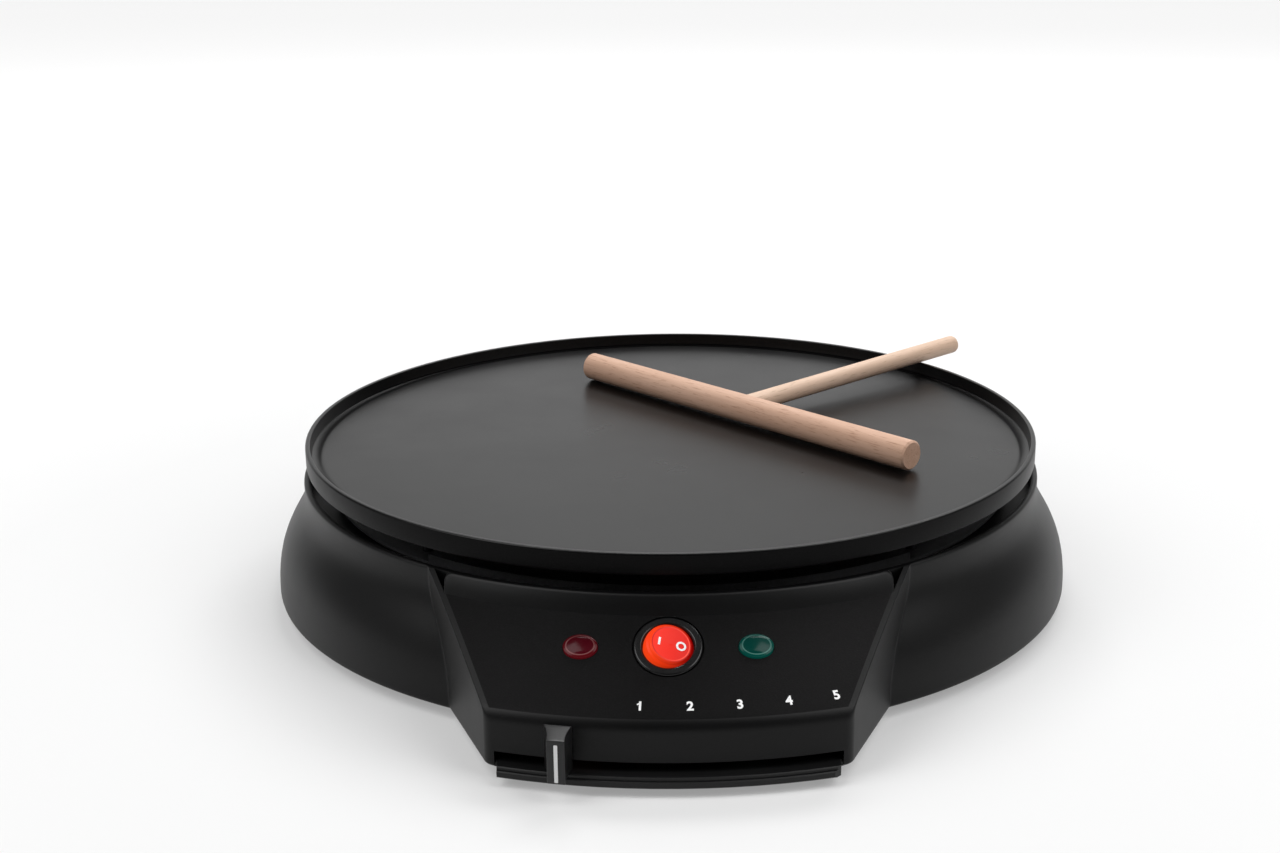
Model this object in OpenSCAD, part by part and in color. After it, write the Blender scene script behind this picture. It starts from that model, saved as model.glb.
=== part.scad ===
// Electric crepe maker: rimmed cooking plate on a flared housing, with a control box
// at the front and a T-shaped batter spreader lying on the plate.
// Lengths in millimetres, +Z up, front towards -Y, the table at Z = 0.
// Angles round the plate are counted from the front, positive towards +X.

/* [Cooking plate] */
// Diameter of the plate over its rim
plate_d = 300; // [280:1:330]
// Height of the plate's outer band
band_h = 8; // [7:0.5:11]
// Height of the rim above the cooking surface
rim_h = 5; // [3:0.5:6]
// Width of the rim's flat top
rim_w = 2; // [1.5:0.5:4]
// Width of the drip groove inside the rim
groove_w = 3.4; // [2:0.2:6]
// Depth of the drip groove
groove_d = 0.6; // [0.3:0.1:1.2]
// Thickness of the plate under the cooking surface
plate_t = 4.5; // [3.5:0.5:6]
// Gap between the plate's band and the housing's lip
plate_gap = 6; // [5:0.5:9]

/* [Heater] */
// Radius of the heating ring
heater_r = 95; // [80:1:105]
// Diameter of the sheathed element
heater_d = 6.6; // [5.6:0.2:7.6]
// Angle between the element's two ends
heater_gap = 24; // [20:1:40]
// Bend of the element's turned-down ends
heater_bend = 5; // [4.2:0.2:6]
// Length of the straight part of the turned-down ends
heater_leg = 7; // [5:0.5:8]
// Thickness of the reflector pan's sheet
pan_t = 0.8; // [0.6:0.1:1.2]
// Height of the reflector pan's shield in front
pan_rim = 6; // [4:0.5:8]

/* [Housing] */
// How far the housing's lip reaches past the plate
lip_over = 1.3; // [1:0.1:3]
// Height of the housing from its lower edge to its lip
housing_h = 46.4; // [44:0.2:54]
// How far the housing flares out below its lip
flare = 12.4; // [8:0.2:16]
// Height of the upright lip above the start of the flare
flare_start = 4; // [3:0.5:8]
// Wall thickness of the mouldings
wall = 2.5; // [2:0.1:3]
// Depth of the inner deck below the lip
deck_drop = 8; // [7:0.5:10]
// Inner radius of the deck that carries the plate
deck_in_r = 116; // [112:1:118]
// Rounding of outer edges
edge_r = 1.2; // [0.6:0.1:1.2]

/* [Control box] */
// How far the control box stands out from the housing
box_reach = 31.8; // [28:0.2:40]
// Half width of the control box at its front corners
box_half = 60.2; // [58:0.2:66]
// Angle of the box's side walls to its centre plane
cheek_angle = 22; // [18:0.5:26]
// Thickness of the side walls' rim beside the visor strip
cheek_rim = 1.6; // [1.2:0.1:2.2]
// Rounding of the box's upright front corners
corner_r = 5; // [4:0.5:8]
// Slope of the control panel
panel_slope = 31.5; // [28:0.5:34]
// Rounding between the panel and the front wall
crease_r = 6; // [4:0.5:8]
// Gap between the housing's lip and the visor strip
visor_gap = 2; // [1.5:0.1:3]
// Thickness of the visor strip
visor_t = 2; // [1.6:0.1:2.6]
// Height of the visor strip above the lip
visor_rise = 1.4; // [0.5:0.1:2.5]
// Radius from the lip to the foot of the visor strip
visor_set = 7.7; // [6.5:0.1:9]
// Depth of the visor's foot below the lip
visor_drop = 4.8; // [4:0.1:6]
// Half width of the slider's slot
slot_half = 57.4; // [54:0.2:58]
// Height of the open slot above the base's lip
slot_h = 3.4; // [3:0.1:5]

/* [Base] */
// Height that the feet hold the base above the table
foot_stand = 3.3; // [2.5:0.1:6]
// How far the base stands below the housing's edge
base_drop = 1.3; // [0.8:0.1:2]
// Thickness of the base cover
base_t = 2.5; // [2:0.1:3]
// Gap between the base cover and the housing's wall
base_fit = 0.4; // [0.3:0.1:0.8]
// How far the base's lip reaches past the front wall
lip_reach = 4.5; // [3:0.1:6]
// Height of the base's lip
lip_h = 3.8; // [3:0.1:5]
// Half width of the base's lip
lip_half = 56.3; // [53:0.1:56.6]
// Diameter of a rubber foot
foot_d = 20; // [16:0.5:24]
// Radius of the circle of the base screws
post_r = 144; // [141:0.5:144]
// Diameter of the base screws' posts
post_d = 9; // [7.5:0.5:9]
// Length of a cooling slot in the base
vent_l = 18; // [12:1:22]
// Width of a cooling slot in the base
vent_w = 3; // [2:0.2:4]

/* [Temperature slider] */
// Angle of the slider at rest
lever_rest = -10.5; // [-16:0.5:16]
// Thickness of the slider's steel arm
lever_t = 1.5; // [1:0.1:1.8]
// Width of the slider's steel arm
lever_w = 9; // [7:0.5:10]
// Width of the arm's tongue in the knob
tongue_w = 3; // [2.6:0.1:3]
// Diameter of the thermostat's spindle
shaft_d = 6; // [5:0.5:7]
// Width of the knob at its back
knob_w = 9.6; // [9:0.1:12]
// Width of the knob's front face
knob_face = 6; // [5.6:0.1:8]
// How far the knob stands out from the front wall
knob_reach = 12.5; // [10:0.1:15]
// Height of the knob
knob_h = 15.4; // [13:0.1:17]

/* [Switch and lamps] */
// Radius from the plate's centre to the switch
switch_r = 169.4; // [168.5:0.1:171]
// Diameter of the switch's bezel
bezel_d = 23.2; // [22.6:0.1:23.6]
// Diameter of the switch's body
switch_d = 20; // [19.6:0.1:20.6]
// Depth of the switch's body below the panel
switch_depth = 17; // [16:0.5:19]
// Diameter of the rocker's opening
rocker_open = 17.2; // [17.2:0.1:17.8]
// Tilt of the rocker to either side
rocker_tilt = 15; // [8:0.5:15]
// Turn of the whole switch in its hole
switch_turn = -8; // [-15:1:15]
// Angle of the indicator lenses from the box's centre plane
lens_angle = 9.9; // [9:0.1:11]
// Radius from the plate's centre to the lenses
lens_r = 170.6; // [169:0.1:173]
// Length of an oval lens
lens_l = 11.8; // [11:0.1:13]
// Height of an oval lens
lens_w = 9.4; // [9:0.1:10]

/* [Spreader] */
// Diameter of the spreader's rake
rake_d = 12; // [11:0.5:14]
// Length of the rake
rake_l = 188; // [150:1:190]
// Diameter of the handle
handle_d = 8; // [7:0.5:9]
// Length of the handle from the rake's axis
handle_l = 138; // [130:1:150]
// Direction of the handle in plan
handle_dir = 40.6; // [35:0.1:50]
// Direction of the rake in plan
rake_dir = -45.9; // [-50:0.1:-40]
// Distance of the rake's middle from the plate's centre
rake_off = 34.6; // [20:0.2:40]
// Bearing of the rake's middle from the plate's centre
rake_bearing = 31.5; // [20:0.5:45]

/* [Hidden] */

$fn = 96;
over = 1;        // how far a cut runs past its faces
seat_gap = 0.3;  // gap between curved faces that only rest on each other
run_gap = 0.05;  // radial clearance of a running fit or a screw in its bore
driver_h = 0.9;  // depth of the driver's recess in a screw head

// Radii of the round parts
plate_r = plate_d / 2;
lip_r = plate_r + lip_over;
body_r = lip_r + flare;
front_r = body_r + box_reach;
base_r = body_r - wall - base_fit;
base_front_r = front_r + lip_reach;
visor_back_r = lip_r + visor_gap;
visor_foot_r = lip_r + visor_set;
knob_back_r = front_r + 0.8;
knob_front_r = front_r + knob_reach;

// Heights above the table, from the feet up
base_top = foot_stand + base_t;
edge_z = foot_stand + base_drop;
base_lip_z = foot_stand + lip_h;
front_edge_z = base_lip_z + slot_h;
lip_z = edge_z + housing_h;
band_z = lip_z + plate_gap;
rim_z = band_z + band_h;
cook_z = rim_z - rim_h;
under_z = cook_z - plate_t;
deck_z = lip_z - deck_drop;
deck_low = deck_z - wall;
pan_top = deck_z + pan_t;
pan_low_rim = 3;
visor_foot_z = lip_z - visor_drop;
groove_z = lip_z - 6;
rim_top_z = lip_z - 0.15;
heater_z = under_z - 1 - heater_d / 2;
leg_z = heater_z - heater_bend - heater_leg;
collar_r = heater_d / 2 + 0.4;
collar_l = 4;
sleeve_l = 4;
pin_l = 9;
rib_gap = heater_gap / 2 + 2;

// Screws that close the housing
screw_angles = [-33, 33, -90, 90, -150, 150];
rib_angles = [-50, -70, -110, -130, -168, 168, 130, 110, 70, 50];
rib_t = 1.6;
cup_d = 12;
cup_h = 5;
screw_seat = foot_stand + 3;
screw_r = 1.6;
head_r = 3.6;
head_h = 2.2;
screw_l = 16;

// Screws that hold the plate
pillar_angles = [45, 135, 225, 315];
pan_clear = 9.8;
shield_angle = 39;
pan_r = lip_r - wall - pan_clear;
pillar_r = (deck_in_r + pan_r) / 2;
pillar_d = 12;
plate_screw_r = 2;
plate_screw_bite = 9;
plate_head_r = 4;
plate_head_h = 2.6;

// Feet
front_foot_r = 158;
rear_foot_r = 135;
foot_places = [[front_foot_r, -21.5], [front_foot_r, 21.5], [rear_foot_r, -140], [rear_foot_r, 140]];
foot_stem_r = 3.5;
foot_edge = 1;
foot_barb = 0.6;
foot_barb_h = 1.2;

// Thermostat, hanging from two pads at the middle of the plate
pad_x = 20;
pad_h = 3.5;
pad_r = 4.5;
strap_t = 1.2;
strap_w = 14;
strap_over = 7;
strap_tab = 5;
strap_low = under_z - pad_h - strap_t;
stack_r = 9;
neck_r = 2.5;
blade_t = 1;
blade_w = 7;
blade_l = 26;
stack_heights = [6.8, 4, 4];
stack_low = strap_low - stack_heights[0] - stack_heights[1] - stack_heights[2] - 2 * blade_t;
blade1_z = stack_low + stack_heights[0];
blade2_z = blade1_z + blade_t + stack_heights[1];
shaft_r = shaft_d / 2;
shaft_end = stack_low - 14.5;
shaft_top = stack_low + 9;
bracket_screw_r = 1.5;

// Slider arm: high at the spindle, cranked down to the slot
lever_hi = stack_low - 11.5;
lever_lo = base_lip_z + 1.3;
crank_in = 112;
crank_out = 146;
nut_h = 2.4;
eye_r = 8;

// Knob on the arm's tongue
knob_low = base_lip_z + 0.5;
knob_edge = 0.4;
tongue_r = knob_front_r - 4.5;

// Switch
recess_d = bezel_d + 1;
recess_h = 1.5;
pivot_drop = 1.8;
rocker_r = rocker_open / 2 - 0.1;
rocker_cut = 3.7;
rocker_low = 5.2;
pin_r = 1.1;
pin_out = 1.4;
bezel_proud = 0.5;
lamp_r = 1.7;
lamp_l = 9;
terminal_l = 7;
terminal_w = 4.8;

// Lenses
lens_seat = 0.8;
lens_stem_r = 3.9;
lens_stem_l = 11;
clip_t = 0.6;
clip_r = 7;

// Cord entry
cord_z = 14;
cord_bore_r = 3.7;
gland_neck_r = 5.5;
gland_flange_r = 7.5;
gland_flange_t = 1.7;
gland_seat_y = body_r - gland_flange_t;
gland_boss_y = body_r - 6;
clamp_y = plate_r - 10;
clamp_x = 11;

// Terminal block
block_l = 40;
block_w = 18;
block_h = 12;
block_y = 62;
block_z = base_top + 4;
way_x = [-13, 0, 13];
way_z = 5;

// Thermal fuse
fuse_x = -52;
fuse_y = -30;
fuse_r = 2.1;
fuse_l = 14;
fuse_z = under_z - fuse_r - 0.2;
fuse_screw_y = 9;
fuse_pad_z = under_z - 2;
fuse_screw_r = 1.3;

// Leads
wire_r = 1.1;
wire_gap = 0.8;  // from a lead's end to the tab or pin it serves
blade_tab_r = blade_l - 1.3;
pan_lead = [-77, -16];
fuse_end = fuse_l / 2 + 8;

// Spreader
rake_r = rake_d / 2;
handle_r = handle_d / 2;
rake_z = cook_z + rake_r + seat_gap;
rake_mid = [rake_off * cos(rake_bearing), rake_off * sin(rake_bearing), rake_z];
rim_walk = sqrt(pow(plate_r - rim_w / 2, 2) - pow(rake_off * sin(handle_dir - rake_bearing), 2))
    - rake_off * cos(handle_dir - rake_bearing);
handle_rise = asin((rim_z + handle_r + seat_gap - rake_z) / rim_walk);

// The frame's origin lies under the middle of the box round the whole object
front_reach = knob_front_r * cos(lever_rest) + (knob_face / 2 - knob_edge) * abs(sin(lever_rest));
axis_y = (front_reach - body_r) / 2;

// ---------- functions ----------

function arc_points(c, r, a0, a1, n) =
    [for (i = [0:n]) let (a = a0 + (a1 - a0) * i / n) [c[0] + r * cos(a), c[1] + r * sin(a)]];

function bezier(t, p) =
    pow(1 - t, 3) * p[0] + 3 * pow(1 - t, 2) * t * p[1] + 3 * (1 - t) * t * t * p[2] + pow(t, 3) * p[3];

function curve(p, n) = [for (i = [0:n]) bezier(i / n, p)];

function reversed(list) = [for (i = [len(list) - 1:-1:0]) list[i]];

// Height of the panel's surface at radius r
function panel_z(r) = visor_foot_z - (r - visor_foot_r) * tan(panel_slope);

// S-curve of the body's outside, from under the lip to the lower edge
function body_curve(inset) = [
    [lip_r - inset, lip_z - flare_start - inset * 0.4],
    [lip_r - inset, lip_z - flare_start - 13 - inset * 0.4],
    [body_r - inset, lip_z - flare_start - 16 - inset * 0.6],
    [body_r - inset, edge_z + 2.4]];

// Side wall of the control box in plan: points at distance cheek_k along the normal
cheek_u = sqrt(front_r * front_r - box_half * box_half);
cheek_k = box_half * cos(cheek_angle) + cheek_u * sin(cheek_angle);
cheek_n = [cos(cheek_angle), -sin(cheek_angle)];
cheek_d = [-sin(cheek_angle), -cos(cheek_angle)];

// Point at distance k from the centre plane's normal line whose radius is r
function cheek_point(k, r) = k * cheek_n + sqrt(r * r - k * k) * cheek_d;

function mirrored(p) = [-p[0], p[1]];

// Visor strip: its ends stand upright, where the side walls' rims reach its foot
visor_half = cheek_point(cheek_k - cheek_rim, visor_foot_r)[0] + 0.2;
visor_corner = 3;
visor_top_z = lip_z + visor_rise;
ledge = 0.2;

// Lip of the base under the slot
lip_end_u = sqrt(base_front_r * base_front_r - lip_half * lip_half);
lip_step = 0.8;
lip_step_z = foot_stand + lip_h * 0.65;

// ---------- placing ----------

module placed() {
    translate([0, axis_y, 0]) children();
}

// Stands children at radius r and angle a from the front
module around(r, a) {
    rotate([0, 0, a]) translate([0, -r, 0]) children();
}

// Puts children on the sloped panel: +Z out of it, +Y up the slope
module on_panel(r, a) {
    around(r, a) translate([0, 0, panel_z(r)]) rotate([panel_slope, 0, 0]) children();
}

module both_sides() {
    children();
    mirror([1, 0, 0]) children();
}

module ring(r_out, r_in, z0, z1) {
    translate([0, 0, z0]) difference() {
        cylinder(r = r_out, h = z1 - z0);
        translate([0, 0, -over]) cylinder(r = r_in, h = z1 - z0 + 2 * over);
    }
}

// Pan-head screw: head below z = 0, shank upwards
module screw(shank_r, shank_l, cap_r, cap_h) {
    root = (cap_h - driver_h) / 2;
    translate([0, 0, -root]) cylinder(r = shank_r, h = shank_l + root);
    rotate([180, 0, 0]) rotate_extrude() difference() {
        polygon(concat([[0, 0]], arc_points([cap_r - cap_h * 0.6, cap_h * 0.4], cap_h * 0.6, 0, 90, 5),
            [[0, cap_h]]));
        translate([-over, cap_h - driver_h]) square([over + driver_h, over + driver_h]);
    }
}

// Oval outline
module oval(l, w) {
    polygon([for (i = [0:47]) let (a = i * 7.5) [l / 2 * cos(a), w / 2 * sin(a)]]);
}

// ---------- cooking plate and heater ----------

module cooking_plate() {
    inner_r = plate_r - rim_w;
    color("#4a4a4c") placed() difference() {
        union() {
            rotate_extrude($fn = 192) polygon(concat(
                [[0, under_z], [plate_r - 7, under_z], [plate_r - 5, band_z], [plate_r - 0.5, band_z],
                 [plate_r, band_z + 0.5]],
                arc_points([plate_r - 0.8, rim_z - 0.8], 0.8, 0, 90, 4),
                arc_points([inner_r + 0.4, rim_z - 0.4], 0.4, 90, 180, 3),
                [[inner_r - 0.5, cook_z + 0.3]],
                arc_points([inner_r - 0.5 - groove_w / 2, cook_z + groove_w * 1.05], groove_w * 1.05 + groove_d,
                    -62, -118, 6),
                [[inner_r - 1.5 - groove_w, cook_z], [0, cook_z]]));
            // ring that holds the heating element
            difference() {
                ring(heater_r + heater_d, heater_r - heater_d, heater_z, under_z + 0.5);
                translate([0, 0, heater_z - over]) linear_extrude(height = under_z - heater_z + over)
                    polygon([[0, 0], 130 * [sin(rib_gap), cos(rib_gap)], 130 * [-sin(rib_gap), cos(rib_gap)]]);
            }
            for (a = pillar_angles) around(pillar_r, a)
                translate([0, 0, pan_top]) cylinder(d1 = pillar_d - 1, d2 = pillar_d, h = under_z - pan_top + 0.5);
            both_sides() translate([pad_x, 0, strap_low + strap_t])
                cylinder(r = pad_r, h = pad_h + 0.5);
            translate([fuse_x, fuse_y + fuse_screw_y, fuse_pad_z]) cylinder(r = 4, h = 2.5);
        }
        translate([0, 0, heater_z]) rotate_extrude($fn = 192) translate([heater_r, 0])
            circle(r = heater_d / 2 + run_gap, $fn = 48);
        for (a = pillar_angles) around(pillar_r, a)
            translate([0, 0, pan_top - over]) cylinder(r = plate_screw_r + run_gap, h = 10 + over);
        both_sides() translate([pad_x, 0, strap_low - over])
            cylinder(r = bracket_screw_r + run_gap, h = 5.5 + over);
        translate([fuse_x, fuse_y + fuse_screw_y, fuse_pad_z - over])
            cylinder(r = fuse_screw_r + run_gap, h = 4.5 + over);
    }
}

// Both turned-down ends of the element: X outwards, Y into the gap between them
module element_ends() {
    both_sides() rotate([0, 0, 90 - heater_gap / 2]) translate([heater_r, heater_bend, 0]) children();
}

module heating_element() {
    color("#8c8a86") placed() {
        translate([0, 0, heater_z]) rotate([0, 0, 90 + heater_gap / 2])
            rotate_extrude(angle = 360 - heater_gap, $fn = 192) translate([heater_r, 0])
                circle(r = heater_d / 2, $fn = 48);
        element_ends() {
            // swaged collar, bend and cold end
            translate([0, -heater_bend - collar_l / 2, heater_z]) rotate([-90, 0, 0])
                cylinder(r = collar_r, h = collar_l);
            translate([0, -heater_bend + collar_l / 6, heater_z - heater_bend]) rotate([0, -90, 0])
                rotate_extrude(angle = 90) translate([heater_bend, 0]) circle(r = heater_d / 2, $fn = 48);
            translate([0, collar_l / 6, leg_z]) cylinder(r = heater_d / 2 + 0.2, h = heater_leg + 0.5);
        }
    }
}

module element_terminals() {
    color("#e8e4da") placed() element_ends() translate([0, collar_l / 6, 0]) {
        ring(heater_d / 2 + 1.6, bracket_screw_r + run_gap, leg_z - sleeve_l, leg_z);
        translate([0, 0, leg_z - pin_l]) cylinder(r = bracket_screw_r, h = pin_l);
    }
}

module heat_reflector() {
    hole_r = 34;
    color("#b9bbbd") placed() difference() {
        rotate_extrude($fn = 192) polygon([
            [hole_r + 1, deck_z], [pan_r - 2, deck_z], [pan_r, deck_z + 2], [pan_r, deck_z + pan_rim],
            [pan_r - pan_t, deck_z + pan_rim], [pan_r - pan_t, deck_z + 2.4], [pan_r - 2.4, pan_top],
            [hole_r + 1.4, pan_top], [hole_r + pan_t, pan_top + 0.6], [hole_r + pan_t, deck_z + 3.6],
            [hole_r, deck_z + 3.6], [hole_r, deck_z + 1]]);
        translate([pan_lead[0], pan_lead[1], deck_z - over]) cylinder(r = 3.5, h = pan_t + 2 * over);
        for (a = pillar_angles) around(pillar_r, a)
            translate([0, 0, deck_z - over]) cylinder(r = plate_screw_r + 0.2, h = pan_t + 2 * over);
        element_ends() translate([0, collar_l / 6, deck_z - over])
            cylinder(r = heater_d / 2 + 3, h = pan_t + 2 * over);
        // the rim stands high only in front, where it shields the control box
        rotate([0, 0, shield_angle - 90]) rotate_extrude(angle = 360 - 2 * shield_angle, $fn = 192)
            translate([pan_r - pan_t - over, deck_z + pan_low_rim]) square([pan_t + 2 * over, pan_rim]);
    }
}

// ---------- housing ----------

// Plan of the control box, drawn with the front towards -Y and moved in by inset
module box_plan(inset) {
    k = cheek_k - inset;
    round_r = max(corner_r - inset, 1);
    c = cheek_point(k - round_r, front_r - inset - round_r + 0.05);
    side = concat([k * cheek_n],
        arc_points(c, round_r, -cheek_angle, atan2(c[1], c[0]), 8), [c * 1.1]);
    intersection() {
        circle(r = front_r - inset, $fn = 192);
        polygon(concat(side, reversed([for (p = side) mirrored(p)])));
    }
}

module body_shell() {
    rotate_extrude($fn = 192) polygon(concat(
        arc_points([lip_r - wall + edge_r, lip_z - edge_r], edge_r, 180, 90, 3),
        arc_points([lip_r - edge_r, lip_z - edge_r], edge_r, 90, 0, 4),
        curve(body_curve(0), 18),
        arc_points([body_r - edge_r, edge_z + edge_r], edge_r, 0, -90, 3),
        [[body_r - wall, edge_z]],
        reversed(curve(body_curve(wall), 14))));
    ring(lip_r - wall + 0.4, deck_in_r, deck_low, deck_z);
}

// Profile of the control box: the panel's slope runs on up to the lip
module box_profile() {
    crease_c = [front_r - crease_r, panel_z(front_r - crease_r) - crease_r / cos(panel_slope)];
    polygon(concat(
        [[body_r - wall, edge_z], [front_r - edge_r, edge_z]],
        arc_points([front_r - edge_r, edge_z + edge_r], edge_r, -60, 0, 3),
        arc_points(crease_c, crease_r, 0, 90 - panel_slope, 8),
        [[visor_foot_r, visor_foot_z], [lip_r + ledge, rim_top_z], [lip_r - wall / 2, rim_top_z],
         [lip_r - wall / 2, groove_z]],
        [for (p = curve(body_curve(wall), 14)) if (p[1] < groove_z) p]));
}

module visor_strip() {
    intersection() {
        rotate_extrude($fn = 192) polygon(concat(
            [[visor_back_r, groove_z + 0.5], [visor_foot_r + 0.6, groove_z + 0.5]],
            arc_points([visor_back_r + visor_t / 2, visor_top_z - visor_t / 2], visor_t / 2, 30, 180, 6)));
        rotate([90, 0, 0]) linear_extrude(height = front_r) polygon(concat(
            [[-visor_half, groove_z], [visor_half, groove_z]],
            arc_points([visor_half - visor_corner, visor_top_z + ledge - visor_corner], visor_corner, 0, 90, 6),
            arc_points([visor_corner - visor_half, visor_top_z + ledge - visor_corner], visor_corner, 90, 180, 6)));
    }
}

// Groove between the lip and the visor strip, open round the strip's ends
module visor_groove() {
    translate([0, 0, groove_z]) linear_extrude(height = 10) difference() {
        intersection() {
            difference() {
                circle(r = visor_foot_r, $fn = 192);
                circle(r = lip_r + ledge, $fn = 192);
            }
            box_plan(cheek_rim);
        }
        intersection() {
            difference() {
                circle(r = front_r, $fn = 192);
                circle(r = visor_back_r - ledge, $fn = 192);
            }
            translate([-visor_half - ledge, -front_r]) square([2 * (visor_half + ledge), front_r]);
        }
    }
}

// Hollow of the control box, open below
module box_cavity() {
    top_z = groove_z - wall;
    inner_r = front_r - wall;
    c = [front_r - crease_r, panel_z(front_r - crease_r) - crease_r / cos(panel_slope)];
    skin = wall / cos(panel_slope);
    top_r = visor_foot_r + (visor_foot_z - skin - top_z) / tan(panel_slope);
    intersection() {
        rotate_extrude($fn = 192) polygon(concat(
            [[lip_r - 24, -over], [inner_r, -over]],
            arc_points(c, crease_r - wall, 0, 90 - panel_slope, 6),
            [[top_r, top_z], [lip_r - wall + 0.4, top_z], [lip_r - wall + 0.4, deck_low],
             [lip_r - 24, deck_low]]));
        linear_extrude(height = lip_z) box_plan(wall);
    }
}

module upper_housing() {
    color("#262628") placed() difference() {
        union() {
            difference() {
                union() {
                    body_shell();
                    intersection() {
                        rotate_extrude($fn = 192) box_profile();
                        linear_extrude(height = lip_z + 5) box_plan(0);
                    }
                    visor_strip();
                }
                box_cavity();
                visor_groove();
            }
            // ribs between the deck and the wall, and the deck's stiffening edge
            intersection() {
                rotate_extrude($fn = 192) polygon(concat(
                    [[deck_in_r, deck_low + over], [deck_in_r, deck_low - 4], [deck_in_r + 2, deck_low - 4],
                     [body_r - wall - 8, edge_z + 12]],
                    reversed(curve(body_curve(wall / 2), 10))));
                linear_extrude(height = deck_low + wall / 2) difference() {
                    union() {
                        for (a = rib_angles) rotate(a) translate([-rib_t / 2, -body_r]) square([rib_t, body_r]);
                        difference() {
                            circle(r = deck_in_r + 2, $fn = 192);
                            circle(r = deck_in_r, $fn = 192);
                        }
                    }
                    // room for the heads of the plate's screws
                    for (a = pillar_angles) around(pillar_r, a) circle(r = plate_head_r + 0.6);
                }
            }
            // boss behind the cord's hole
            intersection() {
                translate([0, gland_boss_y, cord_z]) rotate([-90, 0, 0])
                    cylinder(r = gland_flange_r + 1.5, h = 5.2);
                translate([0, 0, base_top + base_fit]) cylinder(r = body_r - wall / 2, h = lip_z);
            }
            // posts for the screws that close the housing
            for (a = screw_angles) around(post_r, a)
                translate([0, 0, foot_stand + cup_h])
                    cylinder(d = post_d, h = deck_low - foot_stand - cup_h + over);
            // pads behind the switch and the lenses
            on_panel(switch_r, 0) translate([0, 0, -wall - 1.5]) cylinder(d = recess_d + 4, h = 2);
        }
        // opening of the slot under the front wall
        translate([-slot_half, -front_r - over, -over]) cube([2 * slot_half, 16, front_edge_z + over]);
        on_panel(switch_r, 0) {
            translate([0, 0, -recess_h]) cylinder(d = recess_d, h = 10);
            translate([0, 0, -switch_depth]) cylinder(r = switch_d / 2 + 0.1, h = switch_depth + over);
        }
        for (a = [-lens_angle, lens_angle]) on_panel(lens_r, a) {
            translate([0, 0, -lens_seat]) linear_extrude(height = 5) oval(lens_l + 0.4, lens_w + 0.4);
            translate([0, 0, -6]) cylinder(r = lens_stem_r + 0.1, h = 8);
        }
        for (a = screw_angles) around(post_r, a)
            translate([0, 0, foot_stand + cup_h - over]) cylinder(r = screw_r + run_gap, h = screw_l + over);
        for (a = pillar_angles) around(pillar_r, a)
            translate([0, 0, deck_low - over]) cylinder(r = plate_screw_r + 0.2, h = wall + 2 * over);
        translate([0, 0, cord_z]) rotate([-90, 0, 0]) {
            cylinder(r = gland_neck_r + run_gap, h = body_r + over);
            translate([0, 0, gland_seat_y]) cylinder(r = gland_flange_r + 0.3, h = 2 * gland_flange_t);
        }
    }
}

// ---------- base ----------

module vent_slot() {
    for (y = [-1, 1]) translate([0, y * (vent_l - vent_w) / 2, 0]) cylinder(d = vent_w, h = base_t + 2 * over);
    translate([-vent_w / 2, -(vent_l - vent_w) / 2, 0]) cube([vent_w, vent_l - vent_w, base_t + 2 * over]);
}

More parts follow.
